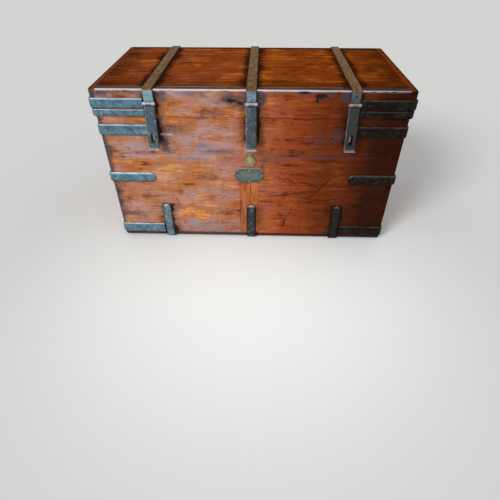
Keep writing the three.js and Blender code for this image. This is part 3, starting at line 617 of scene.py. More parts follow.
def dress(piece, material, angle=38):
    """One material, smooth shading, and sharp edges where the surface turns more than angle."""
    paint(piece, material)
    piece.data.shade_smooth()
    piece.data.set_sharp_from_angle(angle=math.radians(angle))


def hollows(u, v, seed, pitch):
    """The ripple as a share from 0 to 1."""
    return (0.5 + 0.5 * ripple(u, v, seed, pitch)).clip(0, 1)


def circle(around):
    """The cosines and the sines of evenly spread angles of a full turn."""
    turn = np.linspace(0, 2 * np.pi, around, endpoint=False)
    return np.cos(turn), np.sin(turn)


def skin(rings):
    """Quads between neighbouring closed rings of an array (rings, around, 3), and a cap at each
    end."""
    stops, around = rings.shape[:2]
    index = np.arange(stops * around).reshape(stops, around)
    ahead = np.roll(index, -1, axis=1)
    quads = np.stack([index[:-1], ahead[:-1], ahead[1:], index[1:]], axis=-1).reshape(-1, 4)
    return quads.tolist() + [index[0, ::-1].tolist(), index[-1].tolist()]


def points_of(piece):
    """The places of a mesh's points, as (n, 3)."""
    places = np.empty(3 * len(piece.data.vertices))
    piece.data.vertices.foreach_get("co", places)
    return places.reshape(-1, 3)


def remark(piece, title, chosen, value):
    """Gives the chosen points another value of one of the mesh's numbers."""
    numbers = piece.data.attributes[title].data
    values = np.empty(len(numbers), np.float32)
    numbers.foreach_get("value", values)
    values[chosen] = value
    numbers.foreach_set("value", values)


def open_edges(mesh):
    """How many edges belong to other than two faces; 0 for a closed solid."""
    used = np.empty(len(mesh.loops), np.int32)
    mesh.loops.foreach_get("edge_index", used)
    return int((np.bincount(used, minlength=len(mesh.edges)) != 2).sum())


def combine(piece, tool, operation):
    """The union, difference or intersection of two closed pieces, applied; the tool is removed."""
    step = piece.modifiers.new("combine", "BOOLEAN")
    step.operation, step.solver, step.object = operation, "EXACT", tool
    graph = bpy.context.evaluated_depsgraph_get()
    mesh = bpy.data.meshes.new_from_object(piece.evaluated_get(graph))
    material = piece.data.materials[0]
    piece.modifiers.clear()
    piece.data = mesh
    bpy.data.objects.remove(tool)
    dress(piece, material)


def stands_for(piece, node):
    """The piece rides with the node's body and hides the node."""
    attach(piece, frame["nodes"][node]["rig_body"])
    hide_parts(node)


print("surface helpers ready")

# %% [markdown]
# Every bar has a line that it follows, a section, and a rule for carrying the one along the
# other. The line turns square corners, so its bends are quarter circles. A smith then strikes
# the bar: its face loses a little where a ripple is high. Dirt and painted shade keep to its
# edges, and the edge towards the light takes a painted highlight.

# %% Bars along a line
TIP_START, TIP_STOPS = 0.12, 10
DENT = 0.45 * MM
HAMMER_PITCH, EDGE_PITCH, WORN_PITCH = 16 * MM, 60 * MM, 24 * MM
TIP_WORN_AND_HIGHLIT_TO = 8 * MM


def rounded_line(corners, radius, step=4 * MM, tip=0.0, tips=(False, False), bend=8):
    """Stops along a line through square corners that are rounded by radius: (place, outward
    direction, width share, length so far). Outwards is away from the side that it turns to. At a
    tip the width share is the half chord of a circle of that radius."""
    corners = np.array(corners, float)
    heading = np.diff(corners, axis=0)
    heading /= np.linalg.norm(heading, axis=1, keepdims=True)
    outward = [-heading[1], *heading[:-1]]
    last = len(heading) - 1
    at, out = [], []
    for leg, ahead in enumerate(heading):
        start = corners[leg] + ahead * (radius if leg else 0)
        end = corners[leg + 1] - ahead * (radius if leg < last else 0)
        share = np.linspace(0, 1, max(2, round(np.linalg.norm(end - start) / step)))[:, None]
        at.append(start + share * (end - start))
        out.append(np.repeat(outward[leg][None], len(share), axis=0))
        if leg < last:
            angle = np.linspace(0, np.pi / 2, bend + 1)[1:-1, None]
            turned = np.sin(angle) * ahead - np.cos(angle) * heading[leg + 1]
            at.append(corners[leg + 1] + radius * (heading[leg + 1] - ahead + turned))
            out.append(turned)
    at, out = np.concatenate(at), np.concatenate(out)
    length = np.append(0, np.linalg.norm(np.diff(at, axis=0), axis=1).cumsum())
    total = length[-1]
    near = tip * (1 - np.cos(np.linspace(TIP_START, np.pi / 2, TIP_STOPS)))
    kept = length[(length > tip * tips[0]) & (length < total - tip * tips[1])]
    first = near if tips[0] else [0.0]
    final = total - near[::-1] if tips[1] else [total]
    places = np.unique(np.concatenate([first, kept, final]))
    wide = np.ones(len(places))
    for is_tip, reach in zip(tips, (places, total - places)):
        if is_tip:
            wide *= np.sqrt(1 - (1 - np.clip(reach / tip, 0, 1)) ** 2)

    def follow(values):
        """The values at the chosen places, each column by straight lines."""
        return np.stack([np.interp(places, length, values[:, i]) for i in range(3)], axis=1)

    return follow(at), follow(out), wide, places


def across_plate(width, bevel, count):
    """Points across a plate, closer together near its edges, and for each how far in it is: 0 at
    the edge and 1 from twice the bevel on."""
    across = width / 2 * np.sin(np.linspace(-np.pi / 2, np.pi / 2, count))
    return across, np.clip((width / 2 - np.abs(across)) / (2 * bevel), 0, 1)


def bar_section(width, thick, bevel, count=17):
    """Points (across, lift) of a bar on a flat back: over a strip of twice the bevel the top falls
    to the upright side as a parabola. The second array says how near the edge each point is."""
    across, inward = across_plate(width, bevel, count)
    lift = thick - bevel * (1 - inward) ** 2
    ends = np.concatenate([[-width / 2], across, [width / 2]])
    return np.stack([ends, np.pad(lift, 1)], axis=1), np.pad(1 - inward, 1)


def carried(section, stops, across):
    """Each point of the section goes its first number along across, and its second along the
    outward direction, of every stop. The section's width shrinks towards a tip, and its lift by
    the root of that."""
    at, out, wide, _ = stops
    sides = (section[..., 0] * wide[:, None])[..., None]
    lifts = (section[..., 1] * np.sqrt(wide)[:, None])[..., None]
    return at[:, None] + sides * np.array(across, float) + lifts * out[:, None]


def struck(section, stops, seed, pitch):
    """A copy of the section for every stop, the stops' lengths as a column, and how far the hammer
    went in at each point, as a share from 0 to 1."""
    face = np.broadcast_to(section, (len(stops[3]), *section.shape)).copy()
    length = stops[3][:, None]
    return face, length, hollows(length + 0 * face[..., 0], face[..., 0], seed, pitch)


def forged(name, width, thick, bevel, stops, across, material, seed, lit=1, crown=0.0,
           tip_worn_and_highlit=0.0):
    """A bar with a hammered face: its lift loses up to a dent and its edges waver. The edge on the
    lit side, 1 or -1 along across, is worn and takes a painted highlight where another ripple says
    so, and the other edge is dirty and in painted shade. With lit 0 both are dirty and in painted
    shade, crown is the wear and painted highlight of the middle, and tip_worn_and_highlit that of
    the first millimetres."""
    section, edge = bar_section(width, thick, bevel)
    face, length, marks = struck(section, stops, seed, HAMMER_PITCH)
    face[..., 1] -= face[..., 1] / thick * DENT * marks
    face[..., 0] *= 1 - 0.022 * hollows(length, 0 * length, seed + 1, EDGE_PITCH)
    points = carried(face, stops, across)
    # The lit side is worn and highlit, the other side dirty and in painted shade.
    side = np.sign(section[:, 0]) * lit
    along = length + 0 * face[..., 0]
    uneven = 0.65 + 0.35 * ripple(along, 0 * face[..., 0], seed + 2, WORN_PITCH)
    # The tip: wear and a painted highlight.
    at_tip = tip_worn_and_highlit * (1 - length / TIP_WORN_AND_HIGHLIT_TO).clip(0, 1)
    rubbed_and_highlit = np.maximum((edge * (side > 0) + crown * (1 - edge) ** 2) * uneven, at_tip)
    dirty_and_shaded = edge * (side <= 0) * (1 - at_tip)
    return new_piece(name, points, skin(points), material, wear=rubbed_and_highlit.clip(0, 1).ravel(),
                     cut=dirty_and_shaded.ravel())


print("bars ready: dents up to", DENT / MM, "mm")

# %% [markdown]
# Ten iron bands wrap the two ends, from one strap round the end to the strap at the back. On the
# body the upper and lower ones stop square against the straps, and the middle one has round
# ends and a high crown. On the lid a thick band sits over a thin lip band. A band is a bar
# carried round two corners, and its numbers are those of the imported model.

# %% Bands round the ends
BODY_HALF, LID_HALF = 430 * MM, 434 * MM
BODY_FRONT, LID_FRONT, BACK = -220 * MM, -224 * MM, 220 * MM
BODY_CORNER, LID_CORNER = 6 * MM, 8 * MM
SEAT = 0.3 * MM
BAND_INNER = 292 * MM
# Of each kind of band: thickness and bevel in millimetres.
BANDS = {"upper": (4, 1.5), "middle": (6, 3.4), "lower": (4, 1.5), "lid": (5, 1.8), "lip": (3, 1.0)}
ON_LID = ("lid", "lip")


def wrap_band(side_name, side, kind):
    """A bar carried from the front, round one end, to the back. Its height and middle come from
    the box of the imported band."""
    name = f"{side_name}_{kind}_band"
    low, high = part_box(name)
    height, middle = high.z - low.z, (high.z + low.z) / 2
    half, front, corner = BODY_HALF, BODY_FRONT, BODY_CORNER
    if kind in ON_LID:
        half, front, corner = LID_HALF, LID_FRONT, LID_CORNER
    x, y0, y1 = side * (half + SEAT), front - SEAT, BACK + SEAT
    inner = side * BAND_INNER
    corners = [(inner, y0, middle), (x, y0, middle), (x, y1, middle), (inner, y1, middle)]
    round_ends = kind == "middle"
    stops = rounded_line(corners, corner + SEAT, tip=height / 2, tips=(round_ends, round_ends))
    thick, bevel = (size * MM for size in BANDS[kind])
    seed = 50 + 10 * len(name) + side
    # Upper edge worn with a painted highlight, lower edge dirty and in painted shade.
    made = forged(name + "_forged", height, thick, bevel, stops, (0, 0, 1), band_iron, seed)
    stands_for(made, name)


for side_name, side in (("left", -1), ("right", 1)):
    for kind in BANDS:
        wrap_band(side_name, side, kind)
print("bands:", 2 * len(BANDS))

# %% [markdown]
# A century of knocks is relief, not paint. The worn face of a board is a fine grid whose points
# are pressed in by a depth that we work out from where they are: slow waves left by the plane,
# cracks along broken lines, nail and worm holes, dents, and a rounded rim that is deeper where
# it was chipped. The grid closes to a block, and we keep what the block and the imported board
# have in common, so the dovetails, the lock pocket and every hole stay as they were.

# %% Marks of wear
PLANE_LEAST, PLANE_WAVE, PLANE_PITCH = 0.06 * MM, 0.24 * MM, 20 * MM
RIM_LEAST, RIM_WIDE, RIM_PITCH = 1 * MM, 3.2 * MM, 30 * MM
RUBBED_HIGH, RUBBED_PITCH = 5 * MM, 22 * MM
CRACK_WANDER, CRACK_PITCH = 1.2 * MM, 18 * MM
CHIP_PITCH, SPOT_PITCH = 9 * MM, 12 * MM
CUT_FROM, CUT_SPAN = 0.35 * MM, 0.9 * MM


def near_line(u, v, points):
    """Distance from every (u, v) to a broken line: the least of the distances to its parts, each
    measured to the foot of the upright, or to the nearer end."""
    best = np.full(u.shape, np.inf)
    for (u0, v0), (u1, v1) in zip(points[:-1], points[1:]):
        du, dv = u1 - u0, v1 - v0
        share = (((u - u0) * du + (v - v0) * dv) / (du * du + dv * dv)).clip(0, 1)
        best = np.minimum(best, np.hypot(u - u0 - share * du, v - v0 - share * dv))
    return best


def scars(u, v, seed, count, low, high):
    """Small knocks at seeded places: each is a bell-shaped dent, longer along the grain."""
    draw = np.random.default_rng(seed)
    total = np.zeros(u.shape)
    for _ in range(count):
        at = draw.uniform(low, high)
        long, short = draw.uniform(1.5, 9) * MM, draw.uniform(1.0, 2.2) * MM
        turn, deep = draw.normal(0, 0.35), draw.uniform(0.25, 1.1) * MM
        du, dv = u - at[0], v - at[1]
        along = du * math.cos(turn) + dv * math.sin(turn)
        over = dv * math.cos(turn) - du * math.sin(turn)
        total = np.maximum(total, deep * np.exp(-(along / long) ** 2 - (over / short) ** 2))
    return total


def oval_gap(u, v, long, short, at_u, at_v):
    """How far from the middle of an oval, as a share that is 1 on its outline. The oval's sizes
    and place are in millimetres, u and v in metres."""
    return np.hypot((u - at_u * MM) / (long * MM), (v - at_v * MM) / (short * MM))


def ovals(u, v, spots, seed):
    """The strongest of the oval spots at every (u, v), full inside and falling off over a ragged
    edge. A spot is (half length, half height, strength, u, v) in millimetres."""
    total = np.zeros(u.shape)
    ragged = 1 + 0.30 * ripple(u / 2, v, seed, SPOT_PITCH)
    for long, short, amount, spot_u, spot_v in spots:
        gap = oval_gap(u, v, long, short, spot_u, spot_v) / ragged
        total = np.maximum(total, amount * (1.5 - 1.1 * gap).clip(0, 1))
    return total


def press(u, v, low, high, seed, scar_count, cracks=(), holes=(), chips=(), stains=(), blooms_and_sheen=(),
          scratches=(), rim=0.9, rubbed_and_highlit=0.0):
    """The depth of every point under the face, and the numbers for the material: how much of that
    is a cut, the wear, the stain and the bloom, where the bloom also holds a painted sheen. Plane
    waves are stretched along u. The rim falls away as a parabola over a few millimetres, wider
    where a ripple says that it was knocked, and its upper edge is worn and takes a painted
    highlight. A crack or a hole is a narrow bell about its line or point, and a chip is a wide one
    cut off level."""
    plane = PLANE_LEAST + PLANE_WAVE * hollows(u / 7, v, seed, PLANE_PITCH)
    wide = (RIM_WIDE * (1 + 0.6 * ripple(u, v, seed + 1, RIM_PITCH))).clip(RIM_LEAST)
    inside = np.minimum.reduce([u - low[0], high[0] - u, v - low[1], high[1] - v]).clip(0)
    fall = (1 - (inside / wide).clip(0, 1)) ** 2
    # Wear and a painted highlight along the rim's upper edge.
    upper = ((high[1] - v) / RUBBED_HIGH).clip(0, 1)
    wear = rubbed_and_highlit * (1 - upper) * (0.85 + 0.15 * ripple(u, v, seed + 5, RUBBED_PITCH))
    depth = scars(u, v, seed + 2, scar_count, low, high)
    for width, deep, points in cracks:
        wandering = u + CRACK_WANDER * ripple(u, v, seed + 3, CRACK_PITCH)
        gap = near_line(wandering, v, np.array(points, float) * MM)
        depth = np.maximum(depth, deep * MM * np.exp(-(gap / (width * MM)) ** 2))
    for radius, deep, hole_u, hole_v in holes:
        gap = np.hypot(u - hole_u * MM, v - hole_v * MM)
        depth = np.maximum(depth, deep * MM * np.exp(-(gap / (radius * MM)) ** 4))
    for long, short, deep, chip_u, chip_v in chips:
        ragged = 1 + 0.35 * ripple(u, v, seed + 4, CHIP_PITCH)
        gap = oval_gap(u, v, long, short, chip_u, chip_v) / ragged
        depth = np.maximum(depth, deep * MM * (1.6 * np.exp(-gap ** 2)).clip(0, 1))
    for width, points in scratches:
        gap = near_line(u, v, np.array(points, float) * MM)
        wear = np.maximum(wear, 1.4 * np.exp(-(gap / (width * MM)) ** 2))
    cut = ((depth - CUT_FROM) / CUT_SPAN).clip(0, 1)
    numbers = {"cut": cut, "wear": (wear - cut).clip(0, 1),
               "stain": ovals(u, v, stains, seed + 6), "bloom_and_sheen": ovals(u, v, blooms_and_sheen, seed + 7)}
    return np.maximum(plane + rim * MM * fall, depth), numbers


print("cuts are dark from", CUT_FROM / MM, "mm deep")

# %% [markdown]
# Now the block. Its front is the pressed grid, its back one flat face behind the board, and the
# walls join the two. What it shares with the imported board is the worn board. Points that come
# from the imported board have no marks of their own, so theirs are cleared.

# %% Worn boards
SPARE = 1.5 * MM
BACK_SPARE = 5 * MM
MARKS_DEEP, MARKS_END = 7 * MM, 4.2 * MM
EDGE_HIGH = 2 * MM


def rub_and_highlight_rim(piece, top, full):
    """Full wear and a painted highlight on the points along the top edge of the front, which the
    cut has made anew.
    """
    y, z = points_of(piece).T[1:]
    remark(piece, "wear", (z > top - EDGE_HIGH) & (y < y.min() + MARKS_DEEP), full)


def clear_marks(piece, axis, face_at, ends):
    """No marks on the points deep under the face or near the two ends of the board."""
    places = points_of(piece)
    along = 1 if axis == 0 else 0
    at_end = np.abs(places[:, along, None] - np.array(ends)).min(axis=1) < MARKS_END
    away = at_end | (np.abs(places[:, axis] - face_at) > MARKS_DEEP)
    for title in ("cut", "wear", "stain", "bloom_and_sheen"):
        remark(piece, title, away, 0)


def pressed_block(node, axis, sign, material, low, high, step, seed, scar_count, marks):
    """A closed block from the pressed grid to a flat back: the grid's outline is one loop, and
    walls run from it to the back."""
    flat = [i for i in range(3) if i != axis]
    u0, u1, v0, v1 = low[flat[0]], high[flat[0]], low[flat[1]], high[flat[1]]
    us = np.linspace(u0 - SPARE, u1 + SPARE, round((u1 - u0) / step))
    vs = np.linspace(v0 - SPARE, v1 + SPARE, round((v1 - v0) / step))
    u, v = np.meshgrid(us, vs, indexing="ij")
    face_at = high[axis] if sign > 0 else low[axis]
    grid = np.empty((*u.shape, 3))
    grid[..., flat[0]], grid[..., flat[1]] = u, v
    depth, numbers = press(u, v, (u0, v0), (u1, v1), seed, scar_count, **marks)
    grid[..., axis] = face_at - sign * depth
    index = np.arange(u.size).reshape(u.shape)
    quads = np.stack([index[:-1, :-1], index[1:, :-1], index[1:, 1:], index[:-1, 1:]], axis=-1)
    loop = np.concatenate([index[:-1, 0], index[-1, :-1], index[:0:-1, -1], index[0, :0:-1]])
    back = grid.reshape(-1, 3)[loop].copy()
    back[:, axis] = face_at - sign * (high[axis] - low[axis] + BACK_SPARE)
    behind = u.size + np.arange(len(loop))
    walls = np.stack([loop, behind, np.roll(behind, -1), np.roll(loop, -1)], axis=1)
    points = np.concatenate([grid.reshape(-1, 3), back])
    faces = quads.reshape(-1, 4).tolist() + walls.tolist() + [behind.tolist()]
    numbers = {title: np.pad(values.ravel(), (0, len(loop))) for title, values in numbers.items()}
    block = new_piece(node + "_worn", points, faces, material, **numbers)
    return block, face_at, (u0, u1)


def packed_copy(node):
    """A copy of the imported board, with its doubled points merged."""
    copy = bpy.data.objects.new("copy", frame["nodes"][node].data.copy())
    bpy.context.scene.collection.objects.link(copy)
    merged = bmesh.new()
    merged.from_mesh(copy.data)
    bmesh.ops.remove_doubles(merged, verts=merged.verts, dist=1e-6)
    merged.to_mesh(copy.data)
    merged.free()
    return copy


def worn_board(node, axis, sign, material, slot, seed, scar_count=30, step=2.6 * MM, edge=0.0,
               **marks):
    """The worn face looks along axis, in the direction of sign. edge is the wear, with a painted
    highlight, of its upper front edge."""
    low, high = (np.array(corner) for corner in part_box(node))
    block, face_at, ends = pressed_block(node, axis, sign, material, low, high, step, seed,
                                         scar_count, marks)
    combine(block, packed_copy(node), "INTERSECT")
    clear_marks(block, axis, face_at, ends)
    if edge:
        rub_and_highlight_rim(block, high[2], edge)
    stands_for(block, node)
    print(block.name, len(block.data.polygons), "faces,", open_edges(block.data), "open edges")


print("worn boards ready")

# %% [markdown]
# The marks of this trunk, in millimetres on the face: long cracks low on the right of the
# front, the wandering one beside the name plate, holes where pins once were, slate-grey stains
# along the left edge, the foot and the lock, lilac blooms that also hold a painted sheen, and the
# chips and worn places along the front edge of the lid, whose rim takes a painted highlight. A
# crack is (width, depth, points), a scratch (width, points), a hole (radius, depth, x, z), a chip
# (half length, half height, depth, x, z), and a stain or bloom (half length, half height,
# strength, x, z).

# %% Marks of the front boards
LOWER_MARKS = {
    "cracks": [
        (1.6, 1.7, [(238, 227), (214, 196), (187, 165), (166, 153)]),
        (1.5, 1.6, [(160, 161), (176, 156), (195, 152), (226, 150), (252, 154), (270, 155)]),
        (1.5, 1.3, [(136, 134), (124, 104), (110, 73), (96, 58)]),
        (2.6, 1.6, [(104, 50), (111, 74)]),
        (1.4, 1.5, [(67, 229), (84, 230), (100, 221), (108, 228), (127, 216)]),
        (1.3, 1.2, [(-238, 152), (-228, 121), (-214, 105)]),
        (0.9, 0.8, [(-118, 150), (-96, 152), (-72, 148)]), (0.9, 0.9, [(-150, 88), (-146, 50)]),
        (1.0, 1.0, [(300, 88), (318, 92), (338, 84)])],
    "holes": [
        (2.0, 3.0, 197, 250), (1.7, 2.6, 67, 179), (1.6, 2.4, 100, 141), (1.9, 3.0, 113, 180),
        (1.8, 2.6, 143, 224), (1.5, 2.4, 39, 201), (1.3, 2.2, -190, 236), (1.4, 2.2, -322, 131)],
    "stains": [
        (13, 34, 1.0, -429, 262), (16, 26, 1.0, -422, 178), (14, 40, 1.0, -428, 128),
        (14, 22, 1.0, -414, 98), (26, 5, 0.6, -388, 88), (70, 9, 0.75, -205, 14),
        (90, 8, 0.7, -90, 14), (60, 9, 0.7, 66, 292), (130, 6, 0.55, 190, 299),
        (34, 5, 0.45, -180, 290), (22, 6, 0.6, -130, 150), (40, 10, 0.35, -130, 222),
        (28, 12, 0.8, -2, 28), (30, 12, 0.6, 270, 28), (90, 26, 0.35, -130, 40)],
    "blooms_and_sheen": [
        (50, 18, 0.7, -345, 292), (110, 22, 0.6, -110, 165), (120, 42, 0.9, -130, 50),
        (36, 30, 0.5, -70, 255), (50, 24, 0.5, -370, 130), (60, 14, 0.6, -160, 296)]}
UPPER_MARKS = {
    "cracks": [(1.2, 1.1, [(143, 366), (150, 369), (158, 366)]),
               (1.2, 1.0, [(224, 354), (232, 358), (236, 352)])],
    "holes": [(2.4, 1.8, 112, 402), (2.6, 1.9, 173, 346), (2.0, 1.6, 194, 356),
              (2.2, 1.6, 228, 356)],
    "stains": [
        (15, 13, 1.0, -417, 320), (44, 16, 0.65, -212, 380), (14, 18, 0.8, -250, 330),
        (60, 7, 0.75, -96, 314), (34, 8, 0.5, -150, 330), (110, 6, 0.5, 120, 306),
        (26, 20, 0.5, 240, 362), (30, 5, 0.6, -150, 412), (22, 20, 0.4, 186, 352)],
    "blooms_and_sheen": [(90, 42, 1.0, -120, 352), (40, 20, 0.6, -345, 325), (30, 40, 0.7, -235, 345),
               (60, 14, 0.8, -120, 312)],
    "scratches": [(1.3, [(-256, 364.6), (-240, 364.3), (-226, 364.8)])]}
PATCH_MARKS = {"cracks": [(1.0, 1.2, [(-2, 205), (-3, 170), (-1, 128)])]}
RAIL_MARKS = {
    "cracks": [(1.0, 1.0, [(40, 424), (84, 426), (140, 423)]),
               (0.9, 0.9, [(196, 447), (240, 444)])],
    "chips": [
        (10, 4.2, 2.0, 140, 485), (13, 5.0, 2.2, 184, 475), (4, 7, 1.6, 175, 464),
        (5, 3, 1.5, 229, 489), (16, 5, 1.3, -52, 462), (9, 6, 1.4, -30, 455),
        (12, 3, 1.1, -330, 488), (7, 2.6, 1.2, 60, 489)],
    "stains": [
        (50, 15, 1.0, -405, 484), (70, 10, 0.9, -330, 486), (20, 15, 0.8, -236, 474),
        (46, 13, 0.6, -150, 482), (30, 8, 0.5, -90, 428), (52, 17, 1.0, -44, 466),
        (34, 11, 0.9, -30, 450), (18, 24, 1.0, 24, 468), (60, 6, 0.7, 90, 486),
        (26, 8, 1.0, 142, 484), (24, 9, 0.9, 190, 476), (14, 16, 0.9, 250, 474)],
    "blooms_and_sheen": [(60, 20, 0.6, -80, 460), (60, 14, 0.6, -210, 478), (60, 14, 0.9, -370, 478),
               (50, 12, 0.5, -200, 430)],
    "rim": 1.2, "rubbed_and_highlit": 1.2}
for title, marks in (("lower", LOWER_MARKS), ("upper", UPPER_MARKS), ("rail", RAIL_MARKS)):
    print(title, {kind: len(rows) for kind, rows in marks.items() if isinstance(rows, list)})

# %% [markdown]
# Each board is told its axis and side, its wood, its seed and how many knocks it has.
# Boards that nobody looks at closely take a wider step. The count of open edges has to be 0: a
# cut between two meshes that nearly touch can leave a board open, and another rim mends that.

# %% The boards
X_AXIS, Y_AXIS, Z_AXIS = 0, 1, 2
worn_board("front_lower_board", Y_AXIS, -1, front_wood, "body_wood", 101, 70, **LOWER_MARKS)
worn_board("front_upper_board", Y_AXIS, -1, front_wood, "body_wood", 111, 36, **UPPER_MARKS)
worn_board("front_patch", Y_AXIS, -1, patch_wood, "body_wood", 117, 6, step=2 * MM, **PATCH_MARKS)
worn_board("lid_front_rail", Y_AXIS, -1, front_wood, "lid_wood", 121, 30, edge=1.2, **RAIL_MARKS)
worn_board("lid_front_plank", Z_AXIS, 1, lid_wood, "lid_wood", 131, 40)
worn_board("lid_rear_plank", Z_AXIS, 1, lid_wood, "lid_wood", 141, 26, step=3.4 * MM)
worn_board("left_end_board", X_AXIS, -1, end_wood, "body_wood", 151, 40, step=3.4 * MM)
worn_board("right_end_board", X_AXIS, 1, end_wood, "body_wood", 161, 40, step=3.4 * MM)
worn_board("back_lower_board", Y_AXIS, 1, back_wood, "body_wood", 171, 40, step=4 * MM)
worn_board("back_upper_board", Y_AXIS, 1, back_wood, "body_wood", 181, 20, step=4 * MM)
worn_board("lid_left_rail", X_AXIS, -1, end_wood, "lid_wood", 191, 14, step=3 * MM, rim=1.5)
worn_board("lid_right_rail", X_AXIS, 1, end_wood, "lid_wood", 201, 14, step=3 * MM, rim=1.2)
worn_board("lid_back_rail", Y_AXIS, 1, front_wood, "lid_wood", 211, 20, step=4 * MM, rim=1.2)

# %% [markdown]
# A strap hinge is a bar whose end is rolled round a pin. The lid strap keeps the two outer
# knuckles and its partner the middle one, so each needs a clear space where the other turns.
# We forge the bar first, then let solid arithmetic do the rest: take away the space for the
# other knuckle, add the own one, and bore the hole for the pin.

# %% Knuckles
RUNNING = 0.4 * MM
CHAMFER = 0.5 * MM
BACK_HINGE = {"radius": 7.0, "pin": 3.0, "length": 32.0, "middle": 12.0, "out": 1}
HASP_HINGE = {"radius": 5.6, "pin": 2.1, "length": 33.0, "middle": 13.0, "out": -1}


def round_bar(radius, x0, x1, y, z, material, around=32):
    """A bar along X: rings of points on a circle, a little smaller at both ends."""
    places = np.array([x0, x0 + CHAMFER, x1 - CHAMFER, x1])
    reach = radius - np.array([0.5, 0, 0, 0.5]) * MM
    cosines, sines = circle(around)
    rings = np.stack([np.repeat(places[:, None], around, axis=1), y + np.outer(reach, cosines),
                      z + np.outer(reach, sines)], axis=-1)
    return new_piece("bar", rings, skin(rings), material)


def highlight_and_shade_round(piece, radius, out, y, z):
    """Within the radius of the line along X through (y, z), the points that face up and out, at 45
    degrees, take a painted highlight: wear is the 4th power of the cosine of their angle to that
    direction. The others take painted shade. out is 1 for the back and -1 for the front."""
    over, up = points_of(piece)[:, 1] - y, points_of(piece)[:, 2] - z
    reach = np.hypot(over, up)
    near = reach < radius
    facing = ((up + out * over) / (math.sqrt(2) * reach.clip(1e-6))).clip(0, 1)[near]
    remark(piece, "wear", near, facing ** 4)
    remark(piece, "cut", near, (0.9 - 1.3 * facing).clip(0, 1))


def knuckled(leaf, hinge, x, y, z, holds_middle):
    """Cuts the leaf free of the other leaf's knuckles, joins its own to it and bores the hole."""
    material = leaf.data.materials[0]
    radius, pin = hinge["radius"] * MM, hinge["pin"] * MM
    half, middle, gap = hinge["length"] / 2 * MM, hinge["middle"] / 2 * MM, 2 * SEAT
    ends = [(-half, -middle - SEAT), (middle + SEAT, half)]
    centre = [(-middle, middle)]
    own, other = (centre, ends) if holds_middle else (ends, centre)
    for x0, x1 in other:
        clear = round_bar(radius + RUNNING, x + x0 - gap, x + x1 + gap, y, z, material)
        combine(leaf, clear, "DIFFERENCE")
    for x0, x1 in own:
        combine(leaf, round_bar(radius, x + x0, x + x1, y, z, material), "UNION")
    bore = round_bar(pin + RUNNING / 2, x - half - gap, x + half + gap, y, z, material, 20)
    combine(leaf, bore, "DIFFERENCE")
    highlight_and_shade_round(leaf, radius + SEAT, hinge["out"], y, z)


print("hinges: knuckles of", BACK_HINGE["radius"], "and", HASP_HINGE["radius"], "mm")

# %% [markdown]
# The body straps start as a round tip on the front, run down and under the bottom and climb the
# back to the hinge. The lid straps start at the hasp's knuckle, run up over the lid and down to
# the same hinge.

# %% Straps
WOOD_FOOT = 5.3 * MM
LID_TOP = 490.1 * MM
HINGE_Y, HINGE_Z = 227.3 * MM, 416.45 * MM
HASP_Y, HASP_Z = -229.9 * MM, 453.6 * MM
# Of each kind of strap: width, thickness and bevel.
BODY_STRAP, LID_STRAP = (30 * MM, 5 * MM, 3.2 * MM), (28 * MM, 4 * MM, 1.2 * MM)
STRAP_BEND, STRAP_TIP, STRAP_RISE = 3.8 * MM, 15 * MM, 124 * MM
STRAP_X = {"left": -274.0 * MM, "centre": 0.0, "right": 274.0 * MM}


def body_strap(name, x):
    """A bar with a round tip on the front, carried under the bottom and up the back."""
    y0, y1, foot = BODY_FRONT - SEAT, BACK + SEAT, WOOD_FOOT - SEAT
    corners = [(x, y0, WOOD_FOOT + STRAP_RISE), (x, y0, foot), (x, y1, foot), (x, y1, HINGE_Z)]
    stops = rounded_line(corners, STRAP_BEND, tip=STRAP_TIP, tips=(True, False))
    # Both edges dirty and in painted shade; a painted highlight on the crown and the tip.
    made = forged(name + "_forged", *BODY_STRAP, stops, (1, 0, 0), strap_iron, 70 + len(name),
                  lit=0, crown=0.05, tip_worn_and_highlit=0.8)
    knuckled(made, BACK_HINGE, x, HINGE_Y, HINGE_Z, True)
    stands_for(made, name)


def lid_strap(name, x):
    """A bar from the hasp's knuckle up the front, over the top and down the back."""
    y0, y1, top = LID_FRONT - SEAT, BACK + SEAT, LID_TOP + SEAT
    corners = [(x, y0, HASP_Z), (x, y0, top), (x, y1, top), (x, y1, HINGE_Z)]
    stops = rounded_line(corners, STRAP_BEND)
    # Both edges dirty and in painted shade.
    made = forged(name + "_forged", *LID_STRAP, stops, (1, 0, 0), lid_strap_iron, 90 + len(name),
                  lit=0)
    knuckled(made, BACK_HINGE, x, HINGE_Y, HINGE_Z, False)
    knuckled(made, HASP_HINGE, x, HASP_Y, HASP_Z, False)
    stands_for(made, name)


for place_name, x in STRAP_X.items():
    body_strap(f"{place_name}_body_strap", x)
    lid_strap(f"{place_name}_lid_strap", x)
print("straps:", 2 * len(STRAP_X))

# %% [markdown]
# A hasp is a plate that hangs from its pin, turned out at its foot as a lip to lift it by. The
# outer two have a long slot that drops over a staple. They lean out a little, as they do when
# they hang free. Each is worked out about its own pin, and then turned and moved as one array.

# %% Hasps
HASP_WIDE, HASP_THICK, HASP_BEVEL = 30 * MM, 3.5 * MM, 0.9 * MM
HASP_BACK, HASP_FOOT = 4.9 * MM, -119.4 * MM
HASP_TILT = math.radians(-10)
HASP_DENT, HASP_PITCH, HASP_WORN_PITCH = 0.35, 15 * MM, 20 * MM
LIP_OUT, LIP_BEND, LIP_FROM, LIP_SPAN = 6.5 * MM, 2.4 * MM, 116 * MM, 8 * MM
SLOT_WIDE, SLOT_HIGH, SLOT_BELOW = 12 * MM, 30 * MM, 92 * MM


